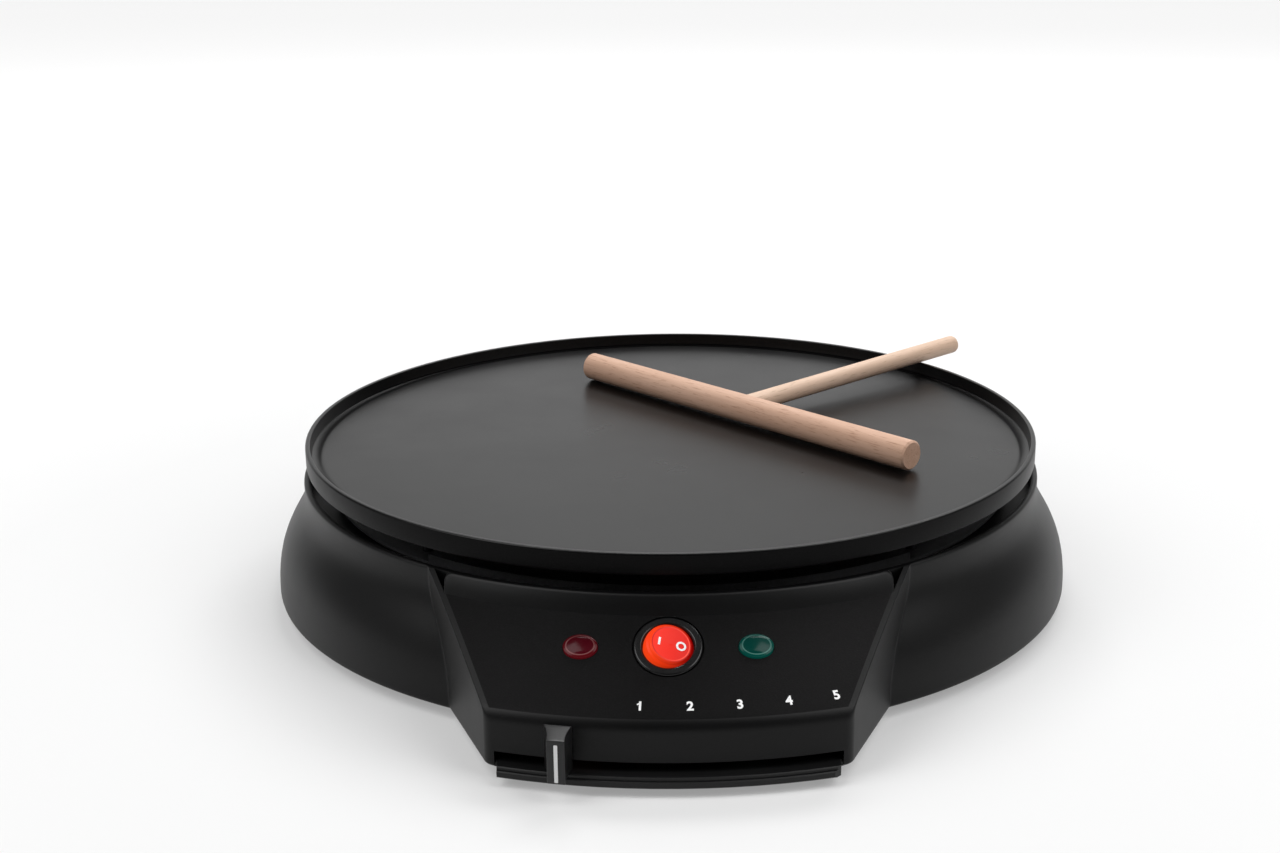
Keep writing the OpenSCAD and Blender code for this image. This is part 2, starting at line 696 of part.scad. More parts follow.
module base_cover() {
    color("#2a2a2c") placed() difference() {
        union() {
            translate([0, 0, foot_stand]) linear_extrude(height = base_t) {
                circle(r = base_r, $fn = 192);
                box_plan(wall + base_fit);
            }
            // lip under the slot: its upper edge steps back, its right end is chamfered
            intersection() {
                rotate_extrude($fn = 192) polygon([
                    [front_r - 8, foot_stand], [base_front_r - 0.5, foot_stand], [base_front_r, foot_stand + 0.5],
                    [base_front_r, lip_step_z - 0.3], [base_front_r - 0.3, lip_step_z],
                    [base_front_r - lip_step, lip_step_z], [base_front_r - lip_step, base_lip_z - 0.3],
                    [base_front_r - lip_step - 0.3, base_lip_z], [front_r - 8, base_lip_z]]);
                linear_extrude(height = base_lip_z + over) polygon([
                    [-lip_half, -lip_end_u - 20], [lip_half - 2.2, -lip_end_u - 20],
                    [lip_half - 2.2, -lip_end_u - 0.7],
                    [lip_half, -lip_end_u + 1.6], [lip_half, 60 - base_front_r], [-lip_half, 60 - base_front_r]]);
            }
            // upstands that centre the cover in the housing
            both_sides() rotate([0, 0, -50]) rotate_extrude(angle = 128, $fn = 192)
                translate([base_r - 2, base_top - 0.5]) square([1.4, 4]);
            // ribs on the inside
            ring(deck_in_r + 3.6, deck_in_r + 2, base_top - 0.5, base_top + 1.8);
            ring(75, 73.4, base_top - 0.5, base_top + 1.8);
            for (i = [0:11]) rotate([0, 0, i * 30 + 15]) translate([46, -rib_t / 2, base_top - 0.5])
                cube([deck_in_r - 43, rib_t, 1.9]);
            for (a = screw_angles) around(post_r, a)
                translate([0, 0, base_top - 0.5]) cylinder(d = cup_d, h = cup_h + foot_stand - base_top + 0.5);
            // posts of the terminal block
            both_sides() translate([6.5, block_y, base_top - 0.5]) cylinder(r = 3.2, h = block_z - base_top + 0.5);
            // saddle and posts of the cord anchorage
            translate([-5, clamp_y - 4, base_top - 0.5]) cube([10, 8, cord_z - base_top - 1.5]);
            both_sides() translate([clamp_x, clamp_y, base_top - 0.5])
                cylinder(r = 3.6, h = cord_z + 0.6 - base_top + 0.5);
        }
        for (a = screw_angles) around(post_r, a) {
            translate([0, 0, foot_stand - over]) cylinder(r = 4.3, h = screw_seat - foot_stand + over);
            translate([0, 0, foot_stand]) cylinder(r = screw_r + 0.2, h = cup_h + over);
        }
        for (p = foot_places) around(p[0], p[1])
            translate([0, 0, foot_stand - over]) cylinder(r = foot_stem_r + run_gap, h = base_t + 2 * over);
        for (i = [0:23]) rotate([0, 0, i * 15 + 7.5]) translate([0, deck_in_r - 12, foot_stand - over]) vent_slot();
        for (i = [0:11]) rotate([0, 0, i * 30]) translate([0, 34, foot_stand - over]) vent_slot();
        both_sides() {
            translate([6.5, block_y, block_z - 5]) cylinder(r = bracket_screw_r + run_gap, h = 5 + over);
            translate([clamp_x, clamp_y, cord_z - 6]) cylinder(r = bracket_screw_r + run_gap, h = 8);
        }
        translate([0, clamp_y - 6, cord_z]) rotate([-90, 0, 0]) cylinder(r = cord_bore_r, h = 12);
    }
}

module rubber_feet() {
    color("#3a3a3c") placed() for (p = foot_places) around(p[0], p[1]) rotate_extrude(convexity = 4) polygon([
        [0, 0], [foot_d / 2 - 1.6 * foot_edge, 0], [foot_d / 2 - foot_edge, foot_edge / 2],
        [foot_d / 2 - 0.4 * foot_edge, foot_stand], [foot_stem_r, foot_stand],
        [foot_stem_r, base_top + run_gap], [foot_stem_r + foot_barb, base_top + run_gap],
        [foot_stem_r + foot_barb - 1, base_top + foot_barb_h], [0, base_top + foot_barb_h]]);
}

module base_screws() {
    color("#9a9a9c") placed() for (a = screw_angles) around(post_r, a)
        translate([0, 0, screw_seat]) screw(screw_r, screw_l, head_r, head_h);
}

module plate_screws() {
    color("#9a9a9c") placed() for (a = pillar_angles) around(pillar_r, a)
        translate([0, 0, deck_low])
            screw(plate_screw_r, wall + pan_t + plate_screw_bite, plate_head_r, plate_head_h);
}

// ---------- thermostat and slider ----------

module thermostat_bracket() {
    color("#aeb0b2") placed() translate([0, 0, strap_low]) difference() {
        union() {
            translate([-pad_x - strap_over, -strap_w / 2, 0])
                cube([2 * (pad_x + strap_over), strap_w, strap_t]);
            both_sides() translate([pad_x - strap_over, -strap_w / 2, -strap_tab])
                cube([strap_t, strap_w, strap_tab + strap_t / 2]);
        }
        both_sides() translate([pad_x, 0, -over]) cylinder(r = bracket_screw_r + 0.2, h = strap_t + 2 * over);
        translate([0, 0, -over]) cylinder(r = neck_r + run_gap, h = strap_t + 2 * over);
    }
}

module bracket_screws() {
    color("#9a9a9c") placed() {
        both_sides() translate([pad_x, 0, strap_low]) screw(bracket_screw_r, strap_t + 3.6, 3, 2);
        translate([fuse_x, fuse_y + fuse_screw_y, fuse_pad_z - 1]) screw(fuse_screw_r, 4.8, 2.5, 1.6);
    }
}

module thermostat_body() {
    bore_r = shaft_r + run_gap;
    color("#e6e0d2") placed() {
        ring(stack_r, bore_r, stack_low, blade1_z);
        ring(stack_r, bore_r, blade1_z + blade_t, blade2_z);
        translate([0, 0, blade2_z + blade_t]) cylinder(r = stack_r, h = stack_heights[2]);
        // riveted neck through the strap
        translate([0, 0, strap_low - 1]) cylinder(r = neck_r, h = strap_t + 1.6);
    }
}

module thermostat_blades() {
    color("#c8a14a") placed() for (b = [[blade1_z, -24], [blade2_z, 24]])
        translate([0, 0, b[0]]) rotate([0, 0, b[1]]) difference() {
            union() {
                cylinder(r = stack_r - 1.5, h = blade_t);
                translate([-blade_w / 2, 0, 0]) cube([blade_w, blade_l, blade_t]);
            }
            translate([0, 0, -over]) cylinder(r = shaft_r + 0.8, h = blade_t + 2 * over);
            translate([0, blade_l - 4, -over]) cylinder(r = 1.2, h = blade_t + 2 * over);
        }
}

module thermostat_shaft() {
    collar_z = lever_hi + lever_t;
    color("#a9abad") placed() difference() {
        union() {
            translate([0, 0, shaft_end]) cylinder(r = shaft_r, h = shaft_top - shaft_end);
            translate([0, 0, collar_z]) cylinder(r = shaft_r + 2, h = 2);
        }
        translate([0, 0, shaft_end - over]) cylinder(r = 0.8, h = 2 + over);
    }
}

// Side view of the cranked arm, radius along X
module arm_profile() {
    polygon([[-eye_r, lever_hi], [crank_in, lever_hi], [crank_out, lever_lo], [tongue_r, lever_lo],
        [tongue_r, lever_lo + lever_t], [crank_out + 0.6, lever_lo + lever_t],
        [crank_in + 0.6, lever_hi + lever_t], [-eye_r, lever_hi + lever_t]]);
}

module slider_lever() {
    color("#a2a4a6") placed() rotate([0, 0, lever_rest - 90]) difference() {
        intersection() {
            rotate([90, 0, 0]) translate([0, 0, -lever_w]) linear_extrude(height = 2 * lever_w) arm_profile();
            linear_extrude(height = lever_hi + 10) union() {
                circle(r = eye_r);
                translate([0, -lever_w / 2]) square([front_r - eye_r, lever_w]);
                translate([front_r - lever_w - wall, -tongue_w / 2])
                    square([tongue_r - front_r + lever_w + wall, tongue_w]);
            }
        }
        translate([0, 0, lever_hi - over]) cylinder(r = shaft_r + 0.03, h = lever_t + 2 * over);
    }
}

module lever_nut() {
    color("#b6b8ba") placed() translate([0, 0, lever_hi - nut_h]) difference() {
        cylinder(d = (shaft_d + 4) / cos(30), h = nut_h, $fn = 6);
        translate([0, 0, -over]) cylinder(r = shaft_r + 0.03, h = nut_h + 2 * over);
    }
}

module slider_knob() {
    depth = knob_front_r - knob_back_r;
    side = curve([[knob_w / 2, 0], [knob_w / 2 - 0.9, 1.6],
        [knob_face / 2 + 0.2, depth * 0.35], [knob_face / 2, depth - 1]], 8);
    color("#242426") placed() rotate([0, 0, lever_rest]) translate([0, -knob_back_r, knob_low]) difference() {
        linear_extrude(height = knob_h) polygon(concat(
            [for (p = side) [p[0], -p[1]]],
            [[knob_face / 2 - knob_edge, -depth], [-knob_face / 2 + knob_edge, -depth]],
            reversed([for (p = side) [-p[0], -p[1]]])));
        // pocket for the arm's tongue
        translate([-tongue_w / 2 - run_gap, -(tongue_r - knob_back_r) - 0.1, lever_lo - knob_low - run_gap])
            cube([tongue_w + 2 * run_gap, tongue_r - knob_back_r + 0.1 + over, lever_t + 2 * run_gap]);
    }
}

// ---------- switch ----------

module switch_frame() {
    on_panel(switch_r, 0) rotate([0, 0, switch_turn]) children();
}

module switch_housing() {
    cavity_r = rocker_r + seat_gap;
    color("#1f1f21") placed() switch_frame() difference() {
        union() {
            translate([0, 0, -switch_depth]) cylinder(d = switch_d, h = switch_depth);
            rotate_extrude() polygon(concat([[0, -recess_h], [bezel_d / 2, -recess_h]],
                arc_points([bezel_d / 2 - 0.8, bezel_proud - 0.8], 0.8, 0, 80, 4),
                arc_points([rocker_open / 2 + 0.8, bezel_proud - 0.7], 0.7, 100, 160, 3),
                [[rocker_open / 2, -recess_h], [0, -recess_h]]));
        }
        translate([0, 0, -pivot_drop]) sphere(r = cavity_r);
        translate([0, 0, -pivot_drop]) cylinder(r = rocker_open / 2, h = 10);
        translate([0, 0, -pivot_drop]) rotate([90, 0, 0])
            cylinder(r = pin_r + run_gap, h = 2 * (rocker_r + pin_out + 0.2), center = true);
        // chamber of the neon lamp
        translate([-lamp_l / 2 - 0.3, 0, -pivot_drop - cavity_r - 1.2]) rotate([0, 90, 0])
            cylinder(r = lamp_r + 0.3, h = lamp_l + 0.6);
        translate([-lamp_l / 2 + 1, -1, -pivot_drop - cavity_r - 1.2]) cube([lamp_l - 2, 2, 3]);
    }
}

// Drawn with one side pressed, as the switch stands at rest
module switch_rocker() {
    color("#d8281c") placed() switch_frame() translate([0, 0, -pivot_drop]) rotate([0, rocker_tilt, 0]) {
        intersection() {
            sphere(r = rocker_r);
            rotate_extrude() polygon(concat([[0, -rocker_low], [rocker_r, -rocker_low], [rocker_r + 1, 1.5]],
                arc_points([rocker_r - 1.9, rocker_cut - 0.9], 0.9, 0, 90, 4), [[0, rocker_cut - 0.25]]));
        }
        rotate([90, 0, 0]) cylinder(r = pin_r, h = 2 * (rocker_r + pin_out), center = true);
    }
}

module switch_terminals() {
    color("#c8a14a") placed() switch_frame() for (x = [-6, 0, 6])
        translate([x - 0.4, -terminal_w / 2, -switch_depth - terminal_l]) difference() {
            cube([0.8, terminal_w, terminal_l]);
            translate([-over, terminal_w / 2, 2.4]) rotate([0, 90, 0]) cylinder(r = 0.9, h = 0.8 + 2 * over);
        }
}

module switch_lamp() {
    z = -pivot_drop - rocker_r - seat_gap - 1.2;
    color("#ffb37a") placed() switch_frame() translate([0, 0, z]) {
        translate([-lamp_l / 2, 0, 0]) rotate([0, 90, 0]) cylinder(r = lamp_r, h = lamp_l);
    }
}

// ---------- indicator lamps ----------

module lens() {
    difference() {
        union() {
            intersection() {
                translate([0, 0, -lens_seat]) linear_extrude(height = 4) oval(lens_l, lens_w);
                translate([0, 0, 1.6 - 22]) sphere(r = 22, $fn = 192);
            }
            translate([0, 0, -lens_stem_l]) cylinder(r = lens_stem_r, h = lens_stem_l - lens_seat + 0.2);
        }
        translate([0, 0, -lens_stem_l - over]) cylinder(r = 2.7, h = lens_stem_l - 1.5 + over);
    }
}

module red_lens() {
    color("#7a0f1e") placed() on_panel(lens_r, -lens_angle) lens();
}

module green_lens() {
    color("#0f6b58") placed() on_panel(lens_r, lens_angle) lens();
}

module indicator_lamps() {
    color("#ffd2a6") placed() for (a = [-lens_angle, lens_angle]) on_panel(lens_r, a) {
        translate([0, 0, -lens_stem_l - 1]) cylinder(r = 2.4, h = lens_stem_l - 3.4);
        translate([0, 0, -4.4]) sphere(r = 2.4);
    }
}

module lens_clips() {
    color("#b0b2b4") placed() for (a = [-lens_angle, lens_angle]) on_panel(lens_r, a)
        ring(clip_r, lens_stem_r + run_gap, -wall - clip_t - seat_gap, -wall - seat_gap);
}

// ---------- fuse, terminals, cord entry ----------

module thermal_fuse() {
    color("#d9d3c0") placed() translate([fuse_x, fuse_y, fuse_z]) rotate([0, 90, 0]) {
        translate([0, 0, -fuse_l / 2]) cylinder(r = fuse_r, h = fuse_l);
        translate([0, 0, -fuse_end]) cylinder(r = 0.6, h = 2 * fuse_end);
    }
}

module fuse_clip() {
    clip_w = 6;
    tail_y = fuse_r + 0.5;
    color("#b0b2b4") placed() translate([fuse_x, fuse_y, fuse_z]) difference() {
        union() {
            translate([-clip_w / 2, tail_y, fuse_pad_z - 1 - fuse_z]) cube([clip_w, fuse_screw_y + 4 - tail_y, 1]);
            rotate([0, 90, 0]) cylinder(r = fuse_r + 1.05, h = clip_w, center = true);
        }
        rotate([0, 90, 0]) cylinder(r = fuse_r + run_gap, h = clip_w + 2 * over, center = true);
        translate([-clip_w, -8, 0]) cube([2 * clip_w, 8 + tail_y, 5]);
        translate([0, fuse_screw_y, -5]) cylinder(r = 1.5, h = 10);
    }
}

module terminal_block() {
    color("#ece7db") placed() translate([0, block_y, block_z]) difference() {
        union() {
            translate([-block_l / 2, -block_w / 2, 0]) cube([block_l, block_w, block_h - 4]);
            for (x = way_x) translate([x - 4.5, -block_w / 2 + 1, 0]) cube([9, block_w - 2, block_h]);
        }
        for (x = way_x) {
            translate([x, -block_w / 2 - over, way_z]) rotate([-90, 0, 0])
                cylinder(r = 2.2, h = block_w + 2 * over);
            for (y = [-4.5, 4.5]) translate([x, y, way_z]) cylinder(r = 1.7, h = block_h);
        }
        both_sides() translate([6.5, 0, -over]) cylinder(r = bracket_screw_r + 0.2, h = block_h);
    }
}

module block_screws() {
    color("#b89a50") placed() translate([0, block_y, block_z]) {
        for (x = way_x, y = [-4.5, 4.5]) translate([x, y, way_z + wire_r + 0.1]) difference() {
            cylinder(r = 1.65, h = 4.4);
            translate([-0.3, -2, 3.6]) cube([0.6, 4, 2]);
        }
        both_sides() translate([6.5, 0, block_h - 4]) rotate([180, 0, 0])
            screw(bracket_screw_r, block_h, 1.9, 1.4);
    }
}

module cord_gland() {
    neck_l = gland_seat_y - gland_boss_y;
    color("#1c1c1e") placed() translate([0, gland_boss_y, cord_z]) rotate([-90, 0, 0]) difference() {
        rotate_extrude() polygon(concat(
            [[0, -1.8], [gland_flange_r - 1, -1.8], [gland_flange_r - 0.4, -1.2], [gland_flange_r - 0.4, 0],
             [gland_neck_r, 0], [gland_neck_r, neck_l], [gland_flange_r, neck_l]],
            arc_points([gland_flange_r - 1, neck_l + gland_flange_t - 1], 1, 0, 90, 4),
            [[0, neck_l + gland_flange_t]]));
        translate([0, 0, -2 - over]) cylinder(r = cord_bore_r, h = neck_l + gland_flange_t + 4);
    }
}

module cord_clamp() {
    color("#e4e0d6") placed() translate([0, clamp_y, 0]) difference() {
        translate([-15, -4, cord_z + 0.6]) cube([30, 8, 5.4]);
        translate([0, -6, cord_z]) rotate([-90, 0, 0]) cylinder(r = cord_bore_r, h = 12);
        both_sides() translate([clamp_x, 0, cord_z]) cylinder(r = bracket_screw_r + 0.2, h = 10);
    }
}

module clamp_screws() {
    color("#9a9a9c") placed() both_sides() translate([clamp_x, clamp_y, cord_z + 6]) rotate([180, 0, 0])
        screw(bracket_screw_r, 11, 2.8, 1.8);
}

// ---------- wiring ----------

// Smooth line through the points, with step pieces between neighbours
function spline_at(p, i, t) = let (
    a = p[max(i - 1, 0)], b = p[i], c = p[i + 1], d = p[min(i + 2, len(p) - 1)])
    0.5 * (2 * b + (c - a) * t + (2 * a - 5 * b + 4 * c - d) * t * t + (3 * b - a - 3 * c + d) * t * t * t);

function spline(p, steps) = concat(
    [for (i = [0:len(p) - 2], s = [0:steps - 1]) spline_at(p, i, s / steps)], [p[len(p) - 1]]);

function unit(v) = v / norm(v);

// Direction of the line at each of its points
function directions(p) = let (last = len(p) - 1)
    [for (i = [0:last]) unit(p[min(i + 1, last)] - p[max(i - 1, 0)])];

// Side vectors carried along the line without twisting
function carried(d, u, i = 0) = i == len(d) ? [] :
    let (w = unit(u - (u * d[i]) * d[i])) concat([w], carried(d, w, i + 1));

// Round tube of radius r along the points
module tube(points, r) {
    sides = 8;
    last = len(points) - 1;
    d = directions(points);
    first_side = cross(d[0], abs(d[0][2]) > 0.7 ? [1, 0, 0] : [0, 0, 1]);
    u = carried(d, first_side);
    verts = [for (i = [0:last], s = [0:sides - 1]) let (a = s * 360 / sides)
        points[i] + r * (cos(a) * u[i] + sin(a) * cross(d[i], u[i]))];
    faces = concat(
        [for (i = [0:last - 1], s = [0:sides - 1]) let (n = (s + 1) % sides)
            [i * sides + s, (i + 1) * sides + s, (i + 1) * sides + n, i * sides + n]],
        [[for (s = [0:sides - 1]) s]], [[for (s = [sides - 1:-1:0]) last * sides + s]]);
    polyhedron(points = verts, faces = faces, convexity = 6);
}

// Point on the panel's frame at radius r and angle a: [across, up the slope, out of it]
function panel_point(r, a, p) = let (
    y = p[1] * cos(panel_slope) - p[2] * sin(panel_slope) - r,
    z = p[1] * sin(panel_slope) + p[2] * cos(panel_slope) + panel_z(r))
    [p[0] * cos(a) - y * sin(a), p[0] * sin(a) + y * cos(a), z];

// Point up the slope from the edge of the switch's terminal at x
function behind_terminal(x, gap) = let (y = terminal_w / 2 + gap)
    panel_point(switch_r, 0, [x * cos(switch_turn) - y * sin(switch_turn),
        x * sin(switch_turn) + y * cos(switch_turn), -switch_depth - terminal_l * 0.65]);

function under_lamp(a, depth) = panel_point(lens_r, a, [0, 0, -lens_stem_l - 1 - depth]);

// Ends of the leads
function way_end(x) = [[x, block_y - 6, block_z + way_z], [x, block_y - 12, block_z + way_z]];

function element_pin(side, depth) = let (a = heater_gap / 2, t = heater_bend + collar_l / 6)
    [side * (heater_r * sin(a) - t * cos(a)), heater_r * cos(a) + t * sin(a), leg_z - pin_l - depth];

function blade_tab(turn, z) = [blade_tab_r * -sin(turn), blade_tab_r * cos(turn), z];

// Each lead along its way, over the slider's arm and under the deck
leads = [
    concat(way_end(way_x[0]), [[-22, 36, 20], [-44, 0, 30], [-42, -60, 34], [-26, -115, 33]],
        [behind_terminal(-6, 10), behind_terminal(-6, 4), behind_terminal(-6, wire_gap)]),
    concat([behind_terminal(6, wire_gap), behind_terminal(6, 4), behind_terminal(6, 10)],
        [[23, -120, 31], [30, -80, 34], [28, -30, 36], [20, 5, 36]],
        [blade_tab(-24, blade1_z - 4), blade_tab(-24, blade1_z - wire_gap)]),
    concat([behind_terminal(0, wire_gap), behind_terminal(0, 4), behind_terminal(0, 10)],
        [[-4, -118, 31], [-12, -60, 34], [-16, -10, 32], [-11, 26, 25]], reversed(way_end(way_x[1]))),
    concat([blade_tab(24, blade2_z + blade_t + wire_gap), blade_tab(24, blade2_z + blade_t + 2)],
        [[-20, 19, 48.8], [-31, 10, 50.4], [-36, -10, 52.2]],
        [[fuse_x + fuse_end + 3, fuse_y - 0.6, fuse_z], [fuse_x + fuse_end + wire_gap, fuse_y, fuse_z]]),
    concat([[fuse_x - fuse_end - wire_gap, fuse_y, fuse_z], [fuse_x - fuse_end - 3.5, fuse_y + 0.6, fuse_z]],
        [[pan_lead[0] + 0.5, pan_lead[1] - 8, 48.6], [pan_lead[0], pan_lead[1], 43.2],
         [pan_lead[0] + 1, pan_lead[1] + 9, 37], [-62, 36, 32], [-36, 74, 28]],
        [element_pin(-1, 4), element_pin(-1, wire_gap)]),
    concat(way_end(way_x[2]), [[24, 46, 17], [34, 62, 21], [28, 84, 24]],
        [element_pin(1, 4), element_pin(1, wire_gap)]),
    concat([under_lamp(-lens_angle, wire_gap), under_lamp(-lens_angle, 3)],
        [[-24, 19.6 - lens_r, 27], [-13, 24.4 - switch_r, 33], [13, 24.4 - switch_r, 33],
         [24, 19.6 - lens_r, 27]],
        [under_lamp(lens_angle, 3), under_lamp(lens_angle, wire_gap)]),
];

module internal_wires() {
    color("#b8b8b0") placed() for (lead = leads) tube(spline(lead, 3), wire_r);
}

// ---------- spreader ----------

module rake_frame() {
    translate(rake_mid) rotate([0, 0, rake_dir]) children();
}

module handle_frame() {
    translate(rake_mid) rotate([0, 0, handle_dir]) rotate([0, 90 - handle_rise, 0]) children();
}

module spreader_rake() {
    tenon_r = handle_r - 1.2;
    color("#d8b394") placed() difference() {
        rake_frame() rotate([0, 90, 0]) rotate_extrude() polygon([
            [0, -rake_l / 2], [rake_r - 0.7, -rake_l / 2], [rake_r, -rake_l / 2 + 0.7],
            [rake_r, rake_l / 2 - 0.7], [rake_r - 0.7, rake_l / 2], [0, rake_l / 2]]);
        handle_frame() cylinder(r = handle_r + run_gap, h = rake_d);
        handle_frame() translate([0, 0, -rake_r * 0.6]) cylinder(r = tenon_r + run_gap, h = rake_d);
    }
}

module spreader_handle() {
    tenon_r = handle_r - 1.2;
    color("#dcbfa4") placed() handle_frame() rotate_extrude() polygon(concat(
        [[0, -rake_r * 0.6 + 0.1], [tenon_r, -rake_r * 0.6 + 0.1], [tenon_r, 0.1], [handle_r, 0.1]],
        arc_points([handle_r - 2, handle_l - 2], 2, 0, 90, 5), [[0, handle_l]]));
}

cooking_plate();
heating_element();
element_terminals();
heat_reflector();
upper_housing();
base_cover();
rubber_feet();
base_screws();
plate_screws();
thermostat_bracket();
bracket_screws();
thermostat_body();
thermostat_blades();
thermostat_shaft();
slider_lever();
lever_nut();
slider_knob();
switch_housing();
switch_rocker();
switch_terminals();
switch_lamp();
red_lens();
green_lens();
indicator_lamps();
lens_clips();
thermal_fuse();
fuse_clip();
terminal_block();
block_screws();
cord_gland();
cord_clamp();
clamp_screws();
internal_wires();
spreader_rake();
spreader_handle();
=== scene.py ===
import bpy
import bmesh
import math
from mathutils import Matrix, Vector


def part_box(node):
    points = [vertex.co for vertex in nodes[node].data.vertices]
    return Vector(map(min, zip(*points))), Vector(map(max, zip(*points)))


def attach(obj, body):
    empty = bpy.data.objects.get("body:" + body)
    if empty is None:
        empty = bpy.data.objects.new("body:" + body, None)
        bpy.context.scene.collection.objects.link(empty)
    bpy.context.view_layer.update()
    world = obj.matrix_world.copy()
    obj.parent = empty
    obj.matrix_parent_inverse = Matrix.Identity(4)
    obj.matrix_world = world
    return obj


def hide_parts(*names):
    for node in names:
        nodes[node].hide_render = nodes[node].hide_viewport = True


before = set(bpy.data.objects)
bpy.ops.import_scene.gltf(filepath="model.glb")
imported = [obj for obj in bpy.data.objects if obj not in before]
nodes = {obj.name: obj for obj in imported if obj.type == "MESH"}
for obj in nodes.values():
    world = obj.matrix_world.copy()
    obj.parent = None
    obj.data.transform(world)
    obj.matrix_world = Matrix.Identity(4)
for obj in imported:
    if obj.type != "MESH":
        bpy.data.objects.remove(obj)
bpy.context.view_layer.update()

mm = 0.001


def cadCentre(node):
    low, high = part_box(node)
    return (Vector(low) + Vector(high)) / 2


# everything round is centred on the plate's axis
axisY = cadCentre("cooking_plate").y


# ---- camera ----

def makeCamera():
    camera = dict(
        place=(0.00353, -0.71715, 0.2879),  # from the plate's axis
        down=17.378,
        turn=1.256,
        roll=-0.690,
        lens=50.517,
    )
    data = bpy.data.cameras.new("camera")
    data.lens = camera["lens"]
    data.sensor_width = 36
    data.clip_start = 0.01
    data.clip_end = 50
    obj = bpy.data.objects.new("camera", data)
    bpy.context.collection.objects.link(obj)
    x, y, z = camera["place"]
    place = Matrix.Translation((x, y + axisY, z))
    turn = Matrix.Rotation(math.radians(camera["turn"]), 4, "Z")
    tilt = Matrix.Rotation(math.radians(90 - camera["down"]), 4, "X")
    roll = Matrix.Rotation(math.radians(camera["roll"]), 4, "Z")
    obj.matrix_world = place @ turn @ tilt @ roll
    bpy.context.scene.camera = obj
    print("camera ready")


# ---- node groups shared by the materials ----

def addNode(tree, kind, **values):
    node = tree.nodes.new(kind)
    for name, value in values.items():
        if name in node.inputs.keys():
            node.inputs[name].default_value = value
        else:
            setattr(node, name, value)
    return node


def newGroup(name, inputs, outputs):
    group = bpy.data.node_groups.new(name, "ShaderNodeTree")
    for label, kind, value in inputs:
        socket = group.interface.new_socket(label, in_out="INPUT", socket_type=kind)
        if value is not None:
            socket.default_value = value
    for label, kind in outputs:
        group.interface.new_socket(label, in_out="OUTPUT", socket_type=kind)
    return group, group.nodes.new("NodeGroupInput"), group.nodes.new("NodeGroupOutput")


def makeGrainGroup():
    # fine sparkle and soft unevenness, as on moulded plastic and baked coatings
    group, inside, outside = newGroup(
        "surfaceGrain",
        [("Vector", "NodeSocketVector", None), ("Grain Size", "NodeSocketFloat", 0.0006),
         ("Patch Size", "NodeSocketFloat", 0.03)],
        [("Grain", "NodeSocketFloat"), ("Patches", "NodeSocketFloat")])
    links = group.links
    for label, socket, detail in (("Grain Size", "Grain", 2.0), ("Patch Size", "Patches", 3.0)):
        scale = addNode(group, "ShaderNodeMath", operation="DIVIDE")
        scale.inputs[0].default_value = 1.0
        links.new(inside.outputs[label], scale.inputs[1])
        noise = addNode(group, "ShaderNodeTexNoise", Detail=detail, Roughness=0.6)
        links.new(inside.outputs["Vector"], noise.inputs["Vector"])
        links.new(scale.outputs[0], noise.inputs["Scale"])
        links.new(noise.outputs[0], outside.inputs[socket])
    return group


def makeWoodGroup():
    # long fibres with short pores, the fibres along the local X of the vector
    group, inside, outside = newGroup(
        "dowelWood",
        [("Vector", "NodeSocketVector", None)],
        [("Fibre", "NodeSocketFloat"), ("Pores", "NodeSocketFloat"), ("Streaks", "NodeSocketFloat")])
    links = group.links
    for socket, stretch, scale in (("Fibre", (0.03, 1, 1), 900), ("Pores", (0.09, 1, 1), 1700),
                                   ("Streaks", (0.05, 1, 1), 160)):
        mapping = addNode(group, "ShaderNodeMapping", Scale=stretch)
        noise = addNode(group, "ShaderNodeTexNoise", Scale=scale, Detail=3.0, Roughness=0.55)
        links.new(inside.outputs["Vector"], mapping.inputs["Vector"])
        links.new(mapping.outputs[0], noise.inputs["Vector"])
        links.new(noise.outputs[0], outside.inputs[socket])
    return group


grainGroup = makeGrainGroup()
woodGroup = makeWoodGroup()


# ---- materials ----

def newMaterial(name, color, roughness, specular=0.5, metallic=0.0):
    mat = bpy.data.materials.new(name)
    mat.use_nodes = True
    shader = mat.node_tree.nodes["Principled BSDF"]
    shader.inputs["Base Color"].default_value = (*color, 1)
    shader.inputs["Roughness"].default_value = roughness
    shader.inputs["Specular IOR Level"].default_value = specular
    shader.inputs["Metallic"].default_value = metallic
    return mat, mat.node_tree, shader


def addRange(tree, source, low, high, start=0.3, end=0.7):
    ramp = addNode(tree, "ShaderNodeMapRange")
    ramp.inputs["From Min"].default_value = start
    ramp.inputs["From Max"].default_value = end
    ramp.inputs["To Min"].default_value = low
    ramp.inputs["To Max"].default_value = high
    tree.links.new(source, ramp.inputs["Value"])
    return ramp.outputs["Result"]


def addMix(tree, factor, first, second):
    mix = addNode(tree, "ShaderNodeMix", data_type="RGBA")
    colours = [socket for socket in mix.inputs if socket.type == "RGBA"]
    for socket, value in zip(colours, (first, second)):
        if hasattr(value, "links"):
            tree.links.new(value, socket)
        else:
            socket.default_value = (*value, 1)
    tree.links.new(factor, mix.inputs["Factor"])
    return [socket for socket in mix.outputs if socket.type == "RGBA"][0]


speckRange = (0.45, 0.8)  # over this stretch the grain turns into a paler speck


